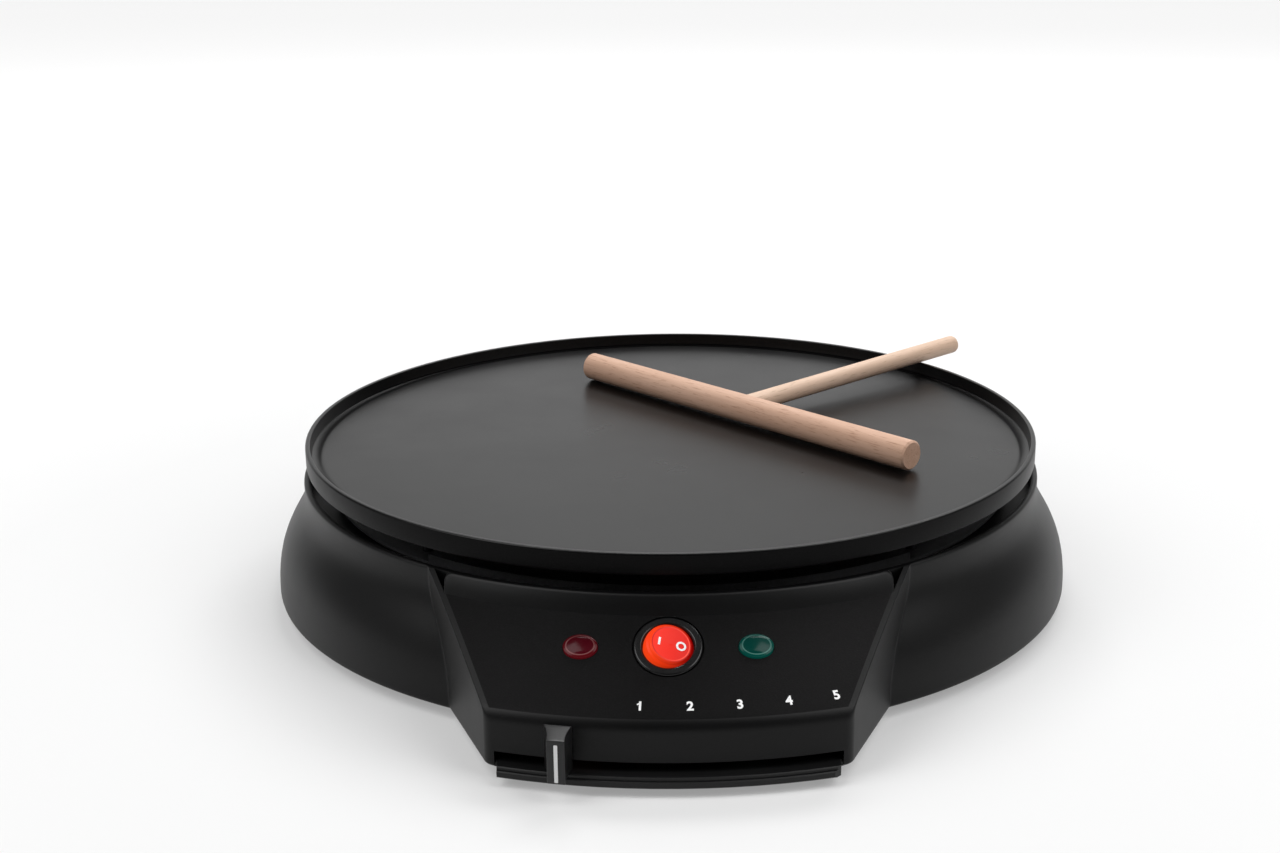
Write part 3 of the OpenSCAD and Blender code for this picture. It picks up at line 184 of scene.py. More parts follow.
def grained(name, look):
    # plastic, rubber, coating or metal with fine grain in colour, gloss and height
    mat, tree, shader = newMaterial(name, look["color"], look["roughness"], look.get("specular", 0.5),
                                    look.get("metallic", 0.0))
    place = addNode(tree, "ShaderNodeTexCoord")
    grain = addNode(tree, "ShaderNodeGroup", node_tree=grainGroup)
    grain.inputs["Grain Size"].default_value = look["grain"]
    grain.inputs["Patch Size"].default_value = look["patch"]
    tree.links.new(place.outputs["Object"], grain.inputs["Vector"])
    speck = addRange(tree, grain.outputs["Grain"], 0, 1, *speckRange)
    tree.links.new(addMix(tree, speck, look["color"], look["speck"]), shader.inputs["Base Color"])
    rough = addRange(tree, grain.outputs["Patches"], look["roughness"] - look["uneven"],
                     look["roughness"] + look["uneven"])
    tree.links.new(rough, shader.inputs["Roughness"])
    bump = addNode(tree, "ShaderNodeBump", Strength=look["bump"], Distance=look["depth"])
    tree.links.new(grain.outputs["Grain"], bump.inputs["Height"])
    tree.links.new(bump.outputs["Normal"], shader.inputs["Normal"])
    return mat


looks = dict(
    coating=dict(color=(0.0016, 0.0015, 0.0016), speck=(0.009, 0.0088, 0.009), roughness=0.3,
                 uneven=0.03, grain=0.0005, patch=0.05, bump=0.6, depth=0.00005, specular=0.2),
    band=dict(color=(0.0012, 0.0011, 0.0012), speck=(0.004, 0.0038, 0.004), roughness=0.36,
              uneven=0.03, grain=0.0005, patch=0.05, bump=0.3, depth=0.00004, specular=0.07),
    shell=dict(color=(0.0014, 0.0014, 0.0015), speck=(0.0028, 0.0028, 0.003), roughness=0.42,
               uneven=0.02, grain=0.0007, patch=0.04, bump=0.12, depth=0.00003, specular=0.2),
    panel=dict(color=(0.0014, 0.0013, 0.0014), speck=(0.004, 0.0038, 0.004), roughness=0.46,
               uneven=0.03, grain=0.0005, patch=0.03, bump=0.8, depth=0.00006, specular=0.08),
    baseCover=dict(color=(0.004, 0.004, 0.0042), speck=(0.007, 0.007, 0.0075), roughness=0.45,
                   uneven=0.03, grain=0.0006, patch=0.03, bump=0.2, depth=0.00004, specular=0.3),
    rubber=dict(color=(0.03, 0.03, 0.032), speck=(0.04, 0.04, 0.042), roughness=0.75, uneven=0.05,
                grain=0.0006, patch=0.01, bump=0.3, depth=0.00005),
    switchBlack=dict(color=(0.003, 0.003, 0.0032), speck=(0.005, 0.005, 0.0055), roughness=0.26,
                     uneven=0.03, grain=0.0006, patch=0.01, bump=0.05, depth=0.00002, specular=0.4),
    knobBlack=dict(color=(0.006, 0.006, 0.0062), speck=(0.01, 0.01, 0.0105), roughness=0.38,
                   uneven=0.03, grain=0.0005, patch=0.008, bump=0.15, depth=0.00003, specular=0.4),
    steel=dict(color=(0.55, 0.55, 0.56), speck=(0.62, 0.62, 0.63), roughness=0.32, uneven=0.06,
               grain=0.0004, patch=0.006, bump=0.1, depth=0.00002, metallic=1.0),
    darkSteel=dict(color=(0.05, 0.05, 0.052), speck=(0.08, 0.08, 0.085), roughness=0.5, uneven=0.05,
                   grain=0.0004, patch=0.006, bump=0.1, depth=0.00002, metallic=1.0),
    sheet=dict(color=(0.2, 0.2, 0.21), speck=(0.26, 0.26, 0.27), roughness=0.5, uneven=0.06,
               grain=0.0008, patch=0.03, bump=0.08, depth=0.00003, metallic=1.0),
    sheath=dict(color=(0.33, 0.3, 0.27), speck=(0.4, 0.36, 0.3), roughness=0.45, uneven=0.1,
                grain=0.0008, patch=0.012, bump=0.15, depth=0.00003, metallic=1.0),
    brass=dict(color=(0.72, 0.56, 0.26), speck=(0.78, 0.62, 0.32), roughness=0.3, uneven=0.06,
               grain=0.0005, patch=0.005, bump=0.08, depth=0.00002, metallic=1.0),
    ceramic=dict(color=(0.78, 0.75, 0.68), speck=(0.84, 0.82, 0.76), roughness=0.4, uneven=0.06,
                 grain=0.0006, patch=0.008, bump=0.15, depth=0.00004),
    sleeve=dict(color=(0.5, 0.5, 0.46), speck=(0.58, 0.58, 0.54), roughness=0.6, uneven=0.05,
                grain=0.0007, patch=0.01, bump=0.2, depth=0.00004),
)


def makeWood(name, node, tones):
    # the fibres run along the dowel, whose middle comes from its own box
    mat, tree, shader = newMaterial(name, tones["plain"], 0.62, 0.35)
    place = addNode(tree, "ShaderNodeTexCoord")
    centre = cadCentre(node)
    turn = (0, math.radians(-tones["rise"]), math.radians(tones["direction"]))
    mapping = addNode(tree, "ShaderNodeMapping", vector_type="TEXTURE", Location=centre, Rotation=turn)
    wood = addNode(tree, "ShaderNodeGroup", node_tree=woodGroup)
    tree.links.new(place.outputs["Object"], mapping.inputs["Vector"])
    tree.links.new(mapping.outputs[0], wood.inputs["Vector"])
    fibre = addRange(tree, wood.outputs["Fibre"], 0, 1)
    pores = addRange(tree, wood.outputs["Pores"], 0, 1, 0.56, 0.75)
    streaks = addRange(tree, wood.outputs["Streaks"], 0, 1)
    body = addMix(tree, fibre, tones["plain"], tones["light"])
    body = addMix(tree, streaks, body, tones["warm"])
    body = addMix(tree, pores, body, tones["pore"])
    tree.links.new(body, shader.inputs["Base Color"])
    tree.links.new(addRange(tree, wood.outputs["Streaks"], 0.55, 0.7), shader.inputs["Roughness"])
    bump = addNode(tree, "ShaderNodeBump", Strength=0.25, Distance=0.00008)
    tree.links.new(wood.outputs["Pores"], bump.inputs["Height"])
    tree.links.new(bump.outputs["Normal"], shader.inputs["Normal"])
    return mat


def makeLit(name, look):
    # tinted plastic lit from behind, with light and shade painted into its glow: one blend of colour
    # across the face, from a lit to a shaded side, another round its rim and down its side
    mat, tree, shader = newMaterial(name, look["color"], look["roughness"], look.get("specular", 0.3))
    shader.inputs["Emission Strength"].default_value = look["strength"]
    shader.inputs["Coat Weight"].default_value = look.get("coat", 0.1)
    shader.inputs["Coat Roughness"].default_value = 0.1
    place = addNode(tree, "ShaderNodeTexCoord")
    mapping = addNode(tree, "ShaderNodeMapping", vector_type="TEXTURE",
                      Location=look["place"].translation, Rotation=look["place"].to_euler(),
                      Scale=look.get("scale", (1, 1, 1)))
    tree.links.new(place.outputs["Object"], mapping.inputs["Vector"])
    axes = addNode(tree, "ShaderNodeSeparateXYZ")
    tree.links.new(mapping.outputs[0], axes.inputs[0])
    flat = addNode(tree, "ShaderNodeVectorMath", operation="MULTIPLY")
    flat.inputs[1].default_value = (1, 1, 0)
    tree.links.new(mapping.outputs[0], flat.inputs[0])
    reach = addNode(tree, "ShaderNodeVectorMath", operation="LENGTH")
    tree.links.new(flat.outputs[0], reach.inputs[0])
    across = addRange(tree, axes.outputs[look.get("along", "X")], 0, 1, -look["face"], look["face"])
    # painted light and shade: face and side each go from a lit to a shaded colour along the axis
    body = addMix(tree, across, look["start"], look["end"])
    side = addMix(tree, across, look["sideStart"], look["sideEnd"])
    edge = addRange(tree, reach.outputs["Value"], 0, 1, look["face"], look["face"] + look["edge"])
    body = addMix(tree, edge, body, side)
    # painted highlight: a thin line of light where face and side meet
    near = addNode(tree, "ShaderNodeMath", operation="COMPARE")
    near.inputs[1].default_value = look["face"]
    near.inputs[2].default_value = look["line"]
    tree.links.new(reach.outputs["Value"], near.inputs[0])
    rim = addMix(tree, across, look["lineStart"], look["lineEnd"])
    tree.links.new(addMix(tree, near.outputs[0], body, rim), shader.inputs["Emission Color"])
    grain = addNode(tree, "ShaderNodeGroup", node_tree=grainGroup)
    grain.inputs["Grain Size"].default_value = 0.0016
    grain.inputs["Patch Size"].default_value = 0.006
    tree.links.new(place.outputs["Object"], grain.inputs["Vector"])
    uneven, pale = 0.05, 1.3
    rough = addRange(tree, grain.outputs["Patches"], look["roughness"] - uneven,
                     look["roughness"] + uneven)
    tree.links.new(rough, shader.inputs["Roughness"])
    paler = [min(value * pale, 1) for value in look["color"]]
    tint = addMix(tree, grain.outputs["Patches"], look["color"], paler)
    tree.links.new(tint, shader.inputs["Base Color"])
    return mat


def makePrint():
    # white pad print with fine grain in tone, gloss and height
    look = dict(color=(0.86, 0.86, 0.86), speck=(0.92, 0.92, 0.92), roughness=0.5, uneven=0.05,
                grain=0.0004, patch=0.004, bump=0.1, depth=0.00001)
    return grained("whitePrint", look)


materials = {name: grained(name, look) for name, look in looks.items()}
materials["print"] = makePrint()
materials["rake"] = makeWood("rakeBeech", "spreader_rake", dict(
    plain=(0.6, 0.38, 0.275), light=(0.69, 0.46, 0.34), warm=(0.56, 0.34, 0.235),
    pore=(0.4, 0.22, 0.14), direction=-45.9, rise=0))
materials["handle"] = makeWood("handleBeech", "spreader_handle", dict(
    plain=(0.68, 0.49, 0.37), light=(0.76, 0.57, 0.45), warm=(0.64, 0.45, 0.33),
    pore=(0.48, 0.32, 0.22), direction=40.6, rise=2))
print("materials ready")


# ---- small makers ----

def finishMesh(name, bm, mats, body="base", smooth=35):
    mesh = bpy.data.meshes.new(name)
    bm.to_mesh(mesh)
    bm.free()
    for mat in mats:
        mesh.materials.append(mat)
    mesh.shade_smooth()
    mesh.set_sharp_from_angle(angle=math.radians(smooth))
    obj = bpy.data.objects.new(name, mesh)
    bpy.context.collection.objects.link(obj)
    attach(obj, body)
    return obj


def atAxis(point):
    # from millimetres round the plate's axis to the frame's metres
    x, y, z = point
    return Vector((x * mm, y * mm + axisY, z * mm))


def loft(bm, rings, closed=False, capped=False):
    # skin over rings of points: each ring is extruded from the last one and set in place
    verts = [bm.verts.new(atAxis(point)) for point in rings[0]]
    edges = [bm.edges.new((verts[i - 1], verts[i])) for i in range(len(verts))]
    ends = [edges]
    for ring in rings[1:] + (rings[:1] if closed else []):
        grown = bmesh.ops.extrude_edge_only(bm, edges=edges)["geom"]
        fresh = {item for item in grown if isinstance(item, bmesh.types.BMVert)}
        verts = [next(e.other_vert(v) for e in v.link_edges if e.other_vert(v) in fresh)
                 for v in verts]
        for vert, point in zip(verts, ring):
            vert.co = atAxis(point)
        edges = [item for item in grown
                 if isinstance(item, bmesh.types.BMEdge) and fresh.issuperset(item.verts)]
    if closed:
        bmesh.ops.remove_doubles(bm, verts=bm.verts, dist=0.0000001)
    if capped:
        for end in ends + [edges]:
            bmesh.ops.contextual_create(bm, geom=end)
    bmesh.ops.recalc_face_normals(bm, faces=bm.faces)


def arc(cx, cy, radius, start, end, steps):
    turns = [math.radians(start + (end - start) * i / steps) for i in range(steps + 1)]
    return [(cx + radius * math.cos(t), cy + radius * math.sin(t)) for t in turns]


def spinProfile(bm, profile, steps):
    # profile of (radius, height) in millimetres turned round the plate's axis
    verts = [bm.verts.new((0, -r * mm + axisY, z * mm)) for r, z in profile]
    edges = [bm.edges.new(pair) for pair in zip(verts, verts[1:])]
    bmesh.ops.spin(bm, geom=verts + edges, cent=(0, axisY, 0), axis=(0, 0, 1), dvec=(0, 0, 0),
                   angle=2 * math.pi, steps=steps, use_merge=True)
    bmesh.ops.remove_doubles(bm, verts=bm.verts, dist=0.000001)


# ---- cooking plate ----

def makePlate():
    plate = dict(outerR=150, rimW=2, rimH=5, bandH=8, castT=4.5, footIn=7, undercut=5, outerEdge=0.7,
                 innerEdge=0.4, grooveIn=0.5, grooveW=3.4, grooveD=0.6, steps=288)
    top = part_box("cooking_plate")[1][2] / mm
    bandLow, cook = top - plate["bandH"], top - plate["rimH"]
    under = cook - plate["castT"]
    outer, inner = plate["outerR"], plate["outerR"] - plate["rimW"]
    # outside, from the middle of the underside up over the rim
    profile = [(0, under), (outer - plate["footIn"], under), (outer - plate["undercut"], bandLow)]
    profile += [(outer - 0.8, bandLow), (outer - 0.2, bandLow + 0.25), (outer, bandLow + 0.9)]
    edge = plate["outerEdge"]
    profile += arc(outer - edge, top - edge, edge, 0, 90, 6)
    edge = plate["innerEdge"]
    profile += arc(inner + edge, top - edge, edge, 90, 180, 4)
    # inside, down into the groove and across the cooking face
    grooveOut = inner - plate["grooveIn"]
    grooveUp = plate["grooveW"] * 1.05
    profile += [(inner - 0.2, cook + 1.6), (grooveOut, cook + 0.3)]
    profile += arc(grooveOut - plate["grooveW"] / 2, cook + grooveUp, grooveUp + plate["grooveD"],
                   -62, -118, 8)
    grooveEnd = grooveOut - plate["grooveW"] - 1
    profile += [(r, cook) for r in (grooveEnd, grooveEnd - 0.9, 100, 50, 0)]
    bm = bmesh.new()
    spinProfile(bm, profile, plate["steps"])
    bmesh.ops.recalc_face_normals(bm, faces=bm.faces)
    obj = finishMesh("plateCast", bm, [materials["coating"], materials["band"]], smooth=32)
    for face in obj.data.polygons:
        # the upright outside of the rim is duller than the cooking face
        x, y, z = face.center / mm
        upright = math.hypot(x, y - axisY / mm) > outer - 0.5 and face.normal.z < 0.6
        face.material_index = 1 if upright else 0
    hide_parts("cooking_plate")
    print("plate ready")


# ---- upper housing ----

shell = dict(
    lipR=151.3, lipRound=1.2, lipInside=0.8, bodyR=163.7, lowZ=4.6, lowEdge=1.2, lipZ=51, wall=2.5,
    deckZ=43, deckR=116, curveTop=47, curveHold=34, curveFlare=31, curveLow=7,
    cheekK=126.5, cheekAngle=22.4, blendR=2.5,
    frontR=195.5, creaseR=6, slope=31.5, visorFootR=159, visorFootZ=46.2,
    frontCorner=5, panelCorner=1.3, border=1.9,
)
# unit directions across and along the right cheek; y towards the front
cheekN = (math.cos(math.radians(shell["cheekAngle"])), math.sin(math.radians(shell["cheekAngle"])))
cheekD = (-cheekN[1], cheekN[0])
slopeTan = math.tan(math.radians(shell["slope"]))
creaseMid = shell["frontR"] - shell["creaseR"]
creaseZ = (shell["visorFootZ"] - (creaseMid - shell["visorFootR"]) * slopeTan
           - shell["creaseR"] / math.cos(math.radians(shell["slope"])))
creaseTop = creaseZ + shell["creaseR"] * math.sin(math.radians(90 - shell["slope"]))


def bezier(t, a, b, c, d):
    s = 1 - t
    return s * s * s * a + 3 * s * s * t * b + 3 * s * t * t * c + t * t * t * d


def bodyRadius(z):
    # S-curve of the side: upright under the lip, then flaring out to a steep wall
    rounding = shell["lipRound"]
    above = z - shell["lipZ"] + rounding
    if above > 0:
        return shell["lipR"] - rounding + math.sqrt(rounding ** 2 - above ** 2)
    if z >= shell["curveTop"]:
        return shell["lipR"]
    if z <= shell["curveLow"]:
        return shell["bodyR"]
    low, high = 0.0, 1.0
    for _ in range(30):
        t = (low + high) / 2
        if bezier(t, shell["curveTop"], shell["curveHold"], shell["curveFlare"], shell["curveLow"]) > z:
            low = t
        else:
            high = t
    return bezier(t, shell["lipR"], shell["lipR"], shell["bodyR"], shell["bodyR"])


def frontRadius(z):
    if z <= creaseZ:
        return shell["frontR"]
    if z < creaseTop:
        return creaseMid + math.sqrt(shell["creaseR"] ** 2 - (z - creaseZ) ** 2)
    return shell["visorFootR"] + (shell["visorFootZ"] - z) / slopeTan


def onCheek(k, s):
    # point k across and s along the right cheek
    return (k * cheekN[0] + s * cheekD[0], k * cheekN[1] + s * cheekD[1])


def arcBetween(centre, start, end, steps):
    # shorter arc round centre from start to end
    a = math.atan2(start[1] - centre[1], start[0] - centre[0])
    b = math.atan2(end[1] - centre[1], end[0] - centre[0])
    turn = (b - a + math.pi) % (2 * math.pi) - math.pi
    radius = math.dist(centre, start)
    bearings = [a + turn * i / steps for i in range(steps + 1)]
    return [(centre[0] + radius * math.cos(t), centre[1] + radius * math.sin(t)) for t in bearings]


def sidePath(radius, front, corner, inset):
    # from the round body along the hollow blend, the cheek and the corner to the front;
    # y towards the front
    steps = dict(blend=10, cheek=6, corner=8)
    k = shell["cheekK"] - inset
    blend = shell["blendR"] + inset
    q = math.sqrt((radius + blend) ** 2 - (k + blend) ** 2)
    centre = onCheek(k + blend, q)
    onBody = (centre[0] * radius / (radius + blend), centre[1] * radius / (radius + blend))
    s = math.sqrt((front - corner) ** 2 - (k - corner) ** 2)
    if s > q:
        cornerMid = onCheek(k - corner, s)
        tip = (cornerMid[0] * front / (front - corner), cornerMid[1] * front / (front - corner))
        parts = steps["cheek"] + 1
        straight = [onCheek(k, q + (s - q) * i / parts) for i in range(1, parts)]
        return (arcBetween(centre, onBody, onCheek(k, q), steps["blend"]) + straight
                + arcBetween(cornerMid, onCheek(k, s), tip, steps["corner"]))
    # above the visor's foot the blend itself runs into the front face, with as many points
    reach = math.hypot(*centre)
    along = (reach ** 2 + front ** 2 - blend ** 2) / (2 * reach)
    aside = math.sqrt(max(front ** 2 - along ** 2, 0))
    ux, uy = centre[0] / reach, centre[1] / reach
    tip = (ux * along - uy * aside, uy * along + ux * aside)
    return arcBetween(centre, onBody, tip, sum(steps.values()) + 1)


def housingRing(z, inset=0.0, edge=0.0):
    # outline at one height, or that of the inner wall when inset
    ringSteps = dict(back=70, front=32)
    radius = bodyRadius(z) - inset - edge
    slant = 1 if z <= creaseZ else math.cos(math.radians(90 - shell["slope"]))
    front = frontRadius(z) - inset / slant - edge
    fade = min(max((z - creaseZ) / (creaseTop - creaseZ), 0), 1)
    corner = shell["frontCorner"] + (shell["panelCorner"] - shell["frontCorner"]) * fade
    side = sidePath(radius, front, corner, inset + edge)
    start = math.atan2(side[0][0], side[0][1])
    turns = [math.pi - (math.pi - start) * i / ringSteps["back"] for i in range(ringSteps["back"])]
    back = [(radius * math.sin(a), radius * math.cos(a)) for a in turns]
    right = back + side
    # the first step along the front ends at the border of the textured face, or short of the tip
    tipK = side[-1][0] * cheekN[0] + side[-1][1] * cheekN[1]
    k = min(shell["cheekK"] - shell["border"], tipK - 0.8)
    end = math.atan2(*onCheek(k, math.sqrt(front ** 2 - k ** 2)))
    turns = [end - end * i / (ringSteps["front"] - 1) for i in range(ringSteps["front"])]
    face = [(front * math.sin(a), front * math.cos(a)) for a in turns]
    half = right + face
    mirrored = [(-x, u) for x, u in reversed(half[1:-1])]
    return [(x, -u, z) for x, u in half + mirrored]


def circleRing(like, radius, z):
    # same bearings as another ring, all at one radius
    return [(radius * x / math.hypot(x, y), radius * y / math.hypot(x, y), z) for x, y, _ in like]


# where the switch and the two lenses sit on the panel: radius from the axis, bearing from the middle
controls = dict(switchR=169.4, lensR=170.6, lensBearing=9.9)


def panelPlace(radius, bearing):
    # frame of a place on the panel: Z out of it, Y up the slope
    tilt = math.radians(shell["slope"])
    z = shell["visorFootZ"] - (radius - shell["visorFootR"]) * slopeTan
    return (Matrix.Translation((0, axisY, 0)) @ Matrix.Rotation(math.radians(bearing), 4, "Z")
            @ Matrix.Translation((0, -radius * mm, z * mm)) @ Matrix.Rotation(tilt, 4, "X"))


def rockerPlace():
    # frame of the tilted rocker: Z out of its face, X from the I to the O
    switch = dict(turn=-8, drop=1.8, tilt=15)
    return (panelPlace(controls["switchR"], 0)
            @ Matrix.Rotation(math.radians(switch["turn"]), 4, "Z")
            @ Matrix.Translation((0, 0, -switch["drop"] * mm))
            @ Matrix.Rotation(math.radians(switch["tilt"]), 4, "Y"))


def lensPlace(side):
    return panelPlace(controls["lensR"], side * controls["lensBearing"])


def lensLook(side, **tones):
    # the lenses' painted light and shade run along Y, up the slope
    return dict(roughness=0.2, specular=0.12, coat=0.04, place=lensPlace(side), scale=(1, 0.78, 1),
                face=0.0048, edge=0.0004, line=0.00025, along="Y", **tones)


def makeLitMaterials():
    # painted light and shade on the rocker: face and side lighter on the raised I side, darker towards
    # the pressed O, with a painted highlight line brightest on the O side
    materials["rocker"] = makeLit("rockerRed", dict(
        color=(0.25, 0.003, 0.001), roughness=0.34, specular=0.12, coat=0.02, strength=0.75,
        place=rockerPlace(), face=0.0064, edge=0.0003, line=0.00022,
        start=(0.95, 0.03, 0.01), end=(0.62, 0.008, 0.003),
        sideStart=(1.0, 0.065, 0.008), sideEnd=(0.22, 0.0, 0.0),
        lineStart=(0.5, 0.01, 0.004), lineEnd=(1.0, 0.1, 0.06)))
    # painted light and shade on the lenses: face and side lighter towards the bottom, with a painted
    # highlight line round the face, brightest at the bottom
    materials["redLens"] = makeLit("lensRed", lensLook(
        -1, color=(0.02, 0.0, 0.001), strength=0.32,
        start=(0.12, 0.0, 0.01), end=(0.05, 0.0, 0.004),
        sideStart=(0.2, 0.008, 0.014), sideEnd=(0.08, 0.003, 0.006),
        lineStart=(0.5, 0.2, 0.2), lineEnd=(0.2, 0.06, 0.06)))
    materials["greenLens"] = makeLit("lensGreen", lensLook(
        1, color=(0.0, 0.016, 0.012), strength=0.36,
        start=(0.0, 0.07, 0.055), end=(0.0, 0.035, 0.03),
        sideStart=(0.0, 0.11, 0.085), sideEnd=(0.0, 0.05, 0.04),
        lineStart=(0.16, 0.42, 0.36), lineEnd=(0.06, 0.2, 0.17)))
    materials["lamp"] = makeLit("lampGlass", dict(
        color=(0.5, 0.3, 0.18), roughness=0.1, strength=0.4,
        place=rockerPlace(), face=0.004, edge=0.002, line=0.0001,
        start=(0.9, 0.35, 0.12), end=(0.9, 0.35, 0.12),
        sideStart=(0.5, 0.18, 0.07), sideEnd=(0.5, 0.18, 0.07),
        lineStart=(0.8, 0.3, 0.1), lineEnd=(0.8, 0.3, 0.1)))
    print("lit materials ready")


def cutterObject(name, bm):
    bmesh.ops.recalc_face_normals(bm, faces=bm.faces)
    mesh = bpy.data.meshes.new(name)
    bm.to_mesh(mesh)
    bm.free()
    obj = bpy.data.objects.new(name, mesh)
    bpy.context.collection.objects.link(obj)
    return obj


def roundCutter(name, place, radiusX, radiusY, depth):
    # round or oval plug that reaches down to depth and stands clear of the panel
    height = 4
    bm = bmesh.new()
    bmesh.ops.create_cone(bm, cap_ends=True, segments=96, radius1=radiusX * mm,
                          radius2=radiusX * mm, depth=(depth + height) * mm)
    bmesh.ops.scale(bm, vec=(1, radiusY / radiusX, 1), verts=bm.verts)
    bmesh.ops.translate(bm, vec=(0, 0, (height - depth) / 2 * mm), verts=bm.verts)
    bmesh.ops.transform(bm, matrix=place, verts=bm.verts)
    return cutterObject(name, bm)


def slotCutter():
    slot = dict(half=57.4, top=10.5, low=-5, depth=16, over=1)
    bm = bmesh.new()
    bmesh.ops.create_cube(bm, size=1)
    size = (2 * slot["half"] * mm, slot["depth"] * mm, (slot["top"] - slot["low"]) * mm)
    bmesh.ops.scale(bm, vec=size, verts=bm.verts)
    middle = shell["frontR"] + slot["over"] - slot["depth"] / 2
    place = (0, axisY - middle * mm, (slot["top"] + slot["low"]) / 2 * mm)
    bmesh.ops.translate(bm, vec=place, verts=bm.verts)
    return cutterObject("slotCut", bm)


def grooveOutline(inset, outer, inner, steps=40):
    # plan of a band between two radii that ends inset from both cheeks; y towards the front
    k = shell["cheekK"] - inset
    points = []
    for radius, way in ((outer, 1), (inner, -1)):
        end = math.atan2(*onCheek(k, math.sqrt(radius ** 2 - k ** 2)))
        turns = [way * end * (1 - 2 * i / steps) for i in range(steps + 1)]
        points += [(radius * math.sin(a), radius * math.cos(a)) for a in turns]
    return points


def grooveCutter():
    groove = dict(rim=1.6, floor=45, top=56)
    outline = grooveOutline(groove["rim"], shell["visorFootR"], shell["lipR"])
    bm = bmesh.new()
    loft(bm, [[(x, -u, z) for x, u in outline] for z in (groove["floor"], groove["top"])], capped=True)
    return cutterObject("grooveCut", bm)


def outerHeights():
    # heights of the outer skin's rings: lower edge, wall, crease, panel and lip
    heights = [shell["lowZ"] + v for v in (0, 0.2, 0.6, 1.2, 2.4)] + [8.5, 10.5, 12.5, 15, 17.5]
    turns = [math.radians(a) for a in (0, 8, 16, 24, 32, 40, 49)]
    heights += [creaseZ + shell["creaseR"] * math.sin(t) for t in turns]
    panelH, steps = shell["visorFootZ"] - creaseTop, 16
    heights += [creaseTop + panelH * i / steps for i in range(steps + 1)]
    return heights + [46.7, 47.2, 48, 48.8, 49.4, 49.8, 50.2, 50.5, 50.75, 50.9]


def outerRing(z):
    low = max(shell["lowEdge"] - (z - shell["lowZ"]), 0)
    edge = shell["lowEdge"] - math.sqrt(shell["lowEdge"] ** 2 - low ** 2)
    return housingRing(z, edge=edge)


def housingRings():
    # up the outside, over the lip, down its inside, across the deck and down the inner wall
    rings = [outerRing(z) for z in outerHeights()]
    lipIn, edge = shell["lipR"] - shell["wall"], shell["lipInside"]
    lip = [(shell["lipR"] - shell["lipRound"], shell["lipZ"])]
    lip += arc(lipIn + edge, shell["lipZ"] - edge, edge, 90, 180, 3)
    lip += [(lipIn, shell["deckZ"]), (shell["deckR"], shell["deckZ"])]
    lip += [(shell["deckR"], shell["deckZ"] - shell["wall"])]
    last = rings[-1]
    rings += [circleRing(last, r, z) for r, z in lip]
    heights = (shell["deckZ"] - shell["wall"], 38, 36, 34, 31, 28, 25.5, 23, 20, 12, shell["lowZ"])
    return rings + [housingRing(z, inset=shell["wall"]) for z in heights]


def makeCutters():
    holes = dict(switchSeatR=12.1, switchSeatD=1.5, switchR=10.1, switchD=12, lensSeatW=6.1,
                 lensSeatH=4.9, lensSeatD=0.8, lensR=4.0, lensD=8)
    cutters = [slotCutter(), grooveCutter()]
    switch = panelPlace(controls["switchR"], 0)
    cutters.append(roundCutter("switchSeat", switch, holes["switchSeatR"], holes["switchSeatR"],
                               holes["switchSeatD"]))
    cutters.append(roundCutter("switchHole", switch, holes["switchR"], holes["switchR"],
                               holes["switchD"]))
    for side in (-1, 1):
        lens = lensPlace(side)
        cutters.append(roundCutter("lensSeat", lens, holes["lensSeatW"], holes["lensSeatH"],
                                   holes["lensSeatD"]))
        cutters.append(roundCutter("lensHole", lens, holes["lensR"], holes["lensR"], holes["lensD"]))
    return cutters


def makeHousing():
    bm = bmesh.new()
    loft(bm, housingRings(), closed=True)
    housing = finishMesh("housingShell", bm, [materials["shell"], materials["panel"]], smooth=30)
    cutters = makeCutters()
    for cutter in cutters:
        cut = housing.modifiers.new(cutter.name, "BOOLEAN")
        cut.operation = "DIFFERENCE"
        cut.solver = "EXACT"
        cut.object = cutter
    baked = bpy.data.meshes.new_from_object(housing.evaluated_get(bpy.context.evaluated_depsgraph_get()))
    housing.modifiers.clear()
    housing.data = baked
    for cutter in cutters:
        bpy.data.objects.remove(cutter)
    paintPanel(baked)
    baked.shade_smooth()
    baked.set_sharp_from_angle(angle=math.radians(30))
    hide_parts("upper_housing")
    print("housing ready", len(baked.polygons))


def paintPanel(mesh):
    # the sloped face of the control box has the coarser texture
    lowZ, highZ = creaseTop - 0.5, shell["visorFootZ"] - 0.1
    for face in mesh.polygons:
        x, y, z = face.center / mm
        y -= axisY / mm
        sloped = face.normal.z > 0.6 and face.normal.y < -0.3 and lowZ < z < highZ
        between = abs(x) * cheekN[0] - y * cheekN[1] < shell["cheekK"] - shell["border"]
        inside = math.hypot(x, y) > shell["visorFootR"] and between
        face.material_index = 1 if sloped and inside else 0


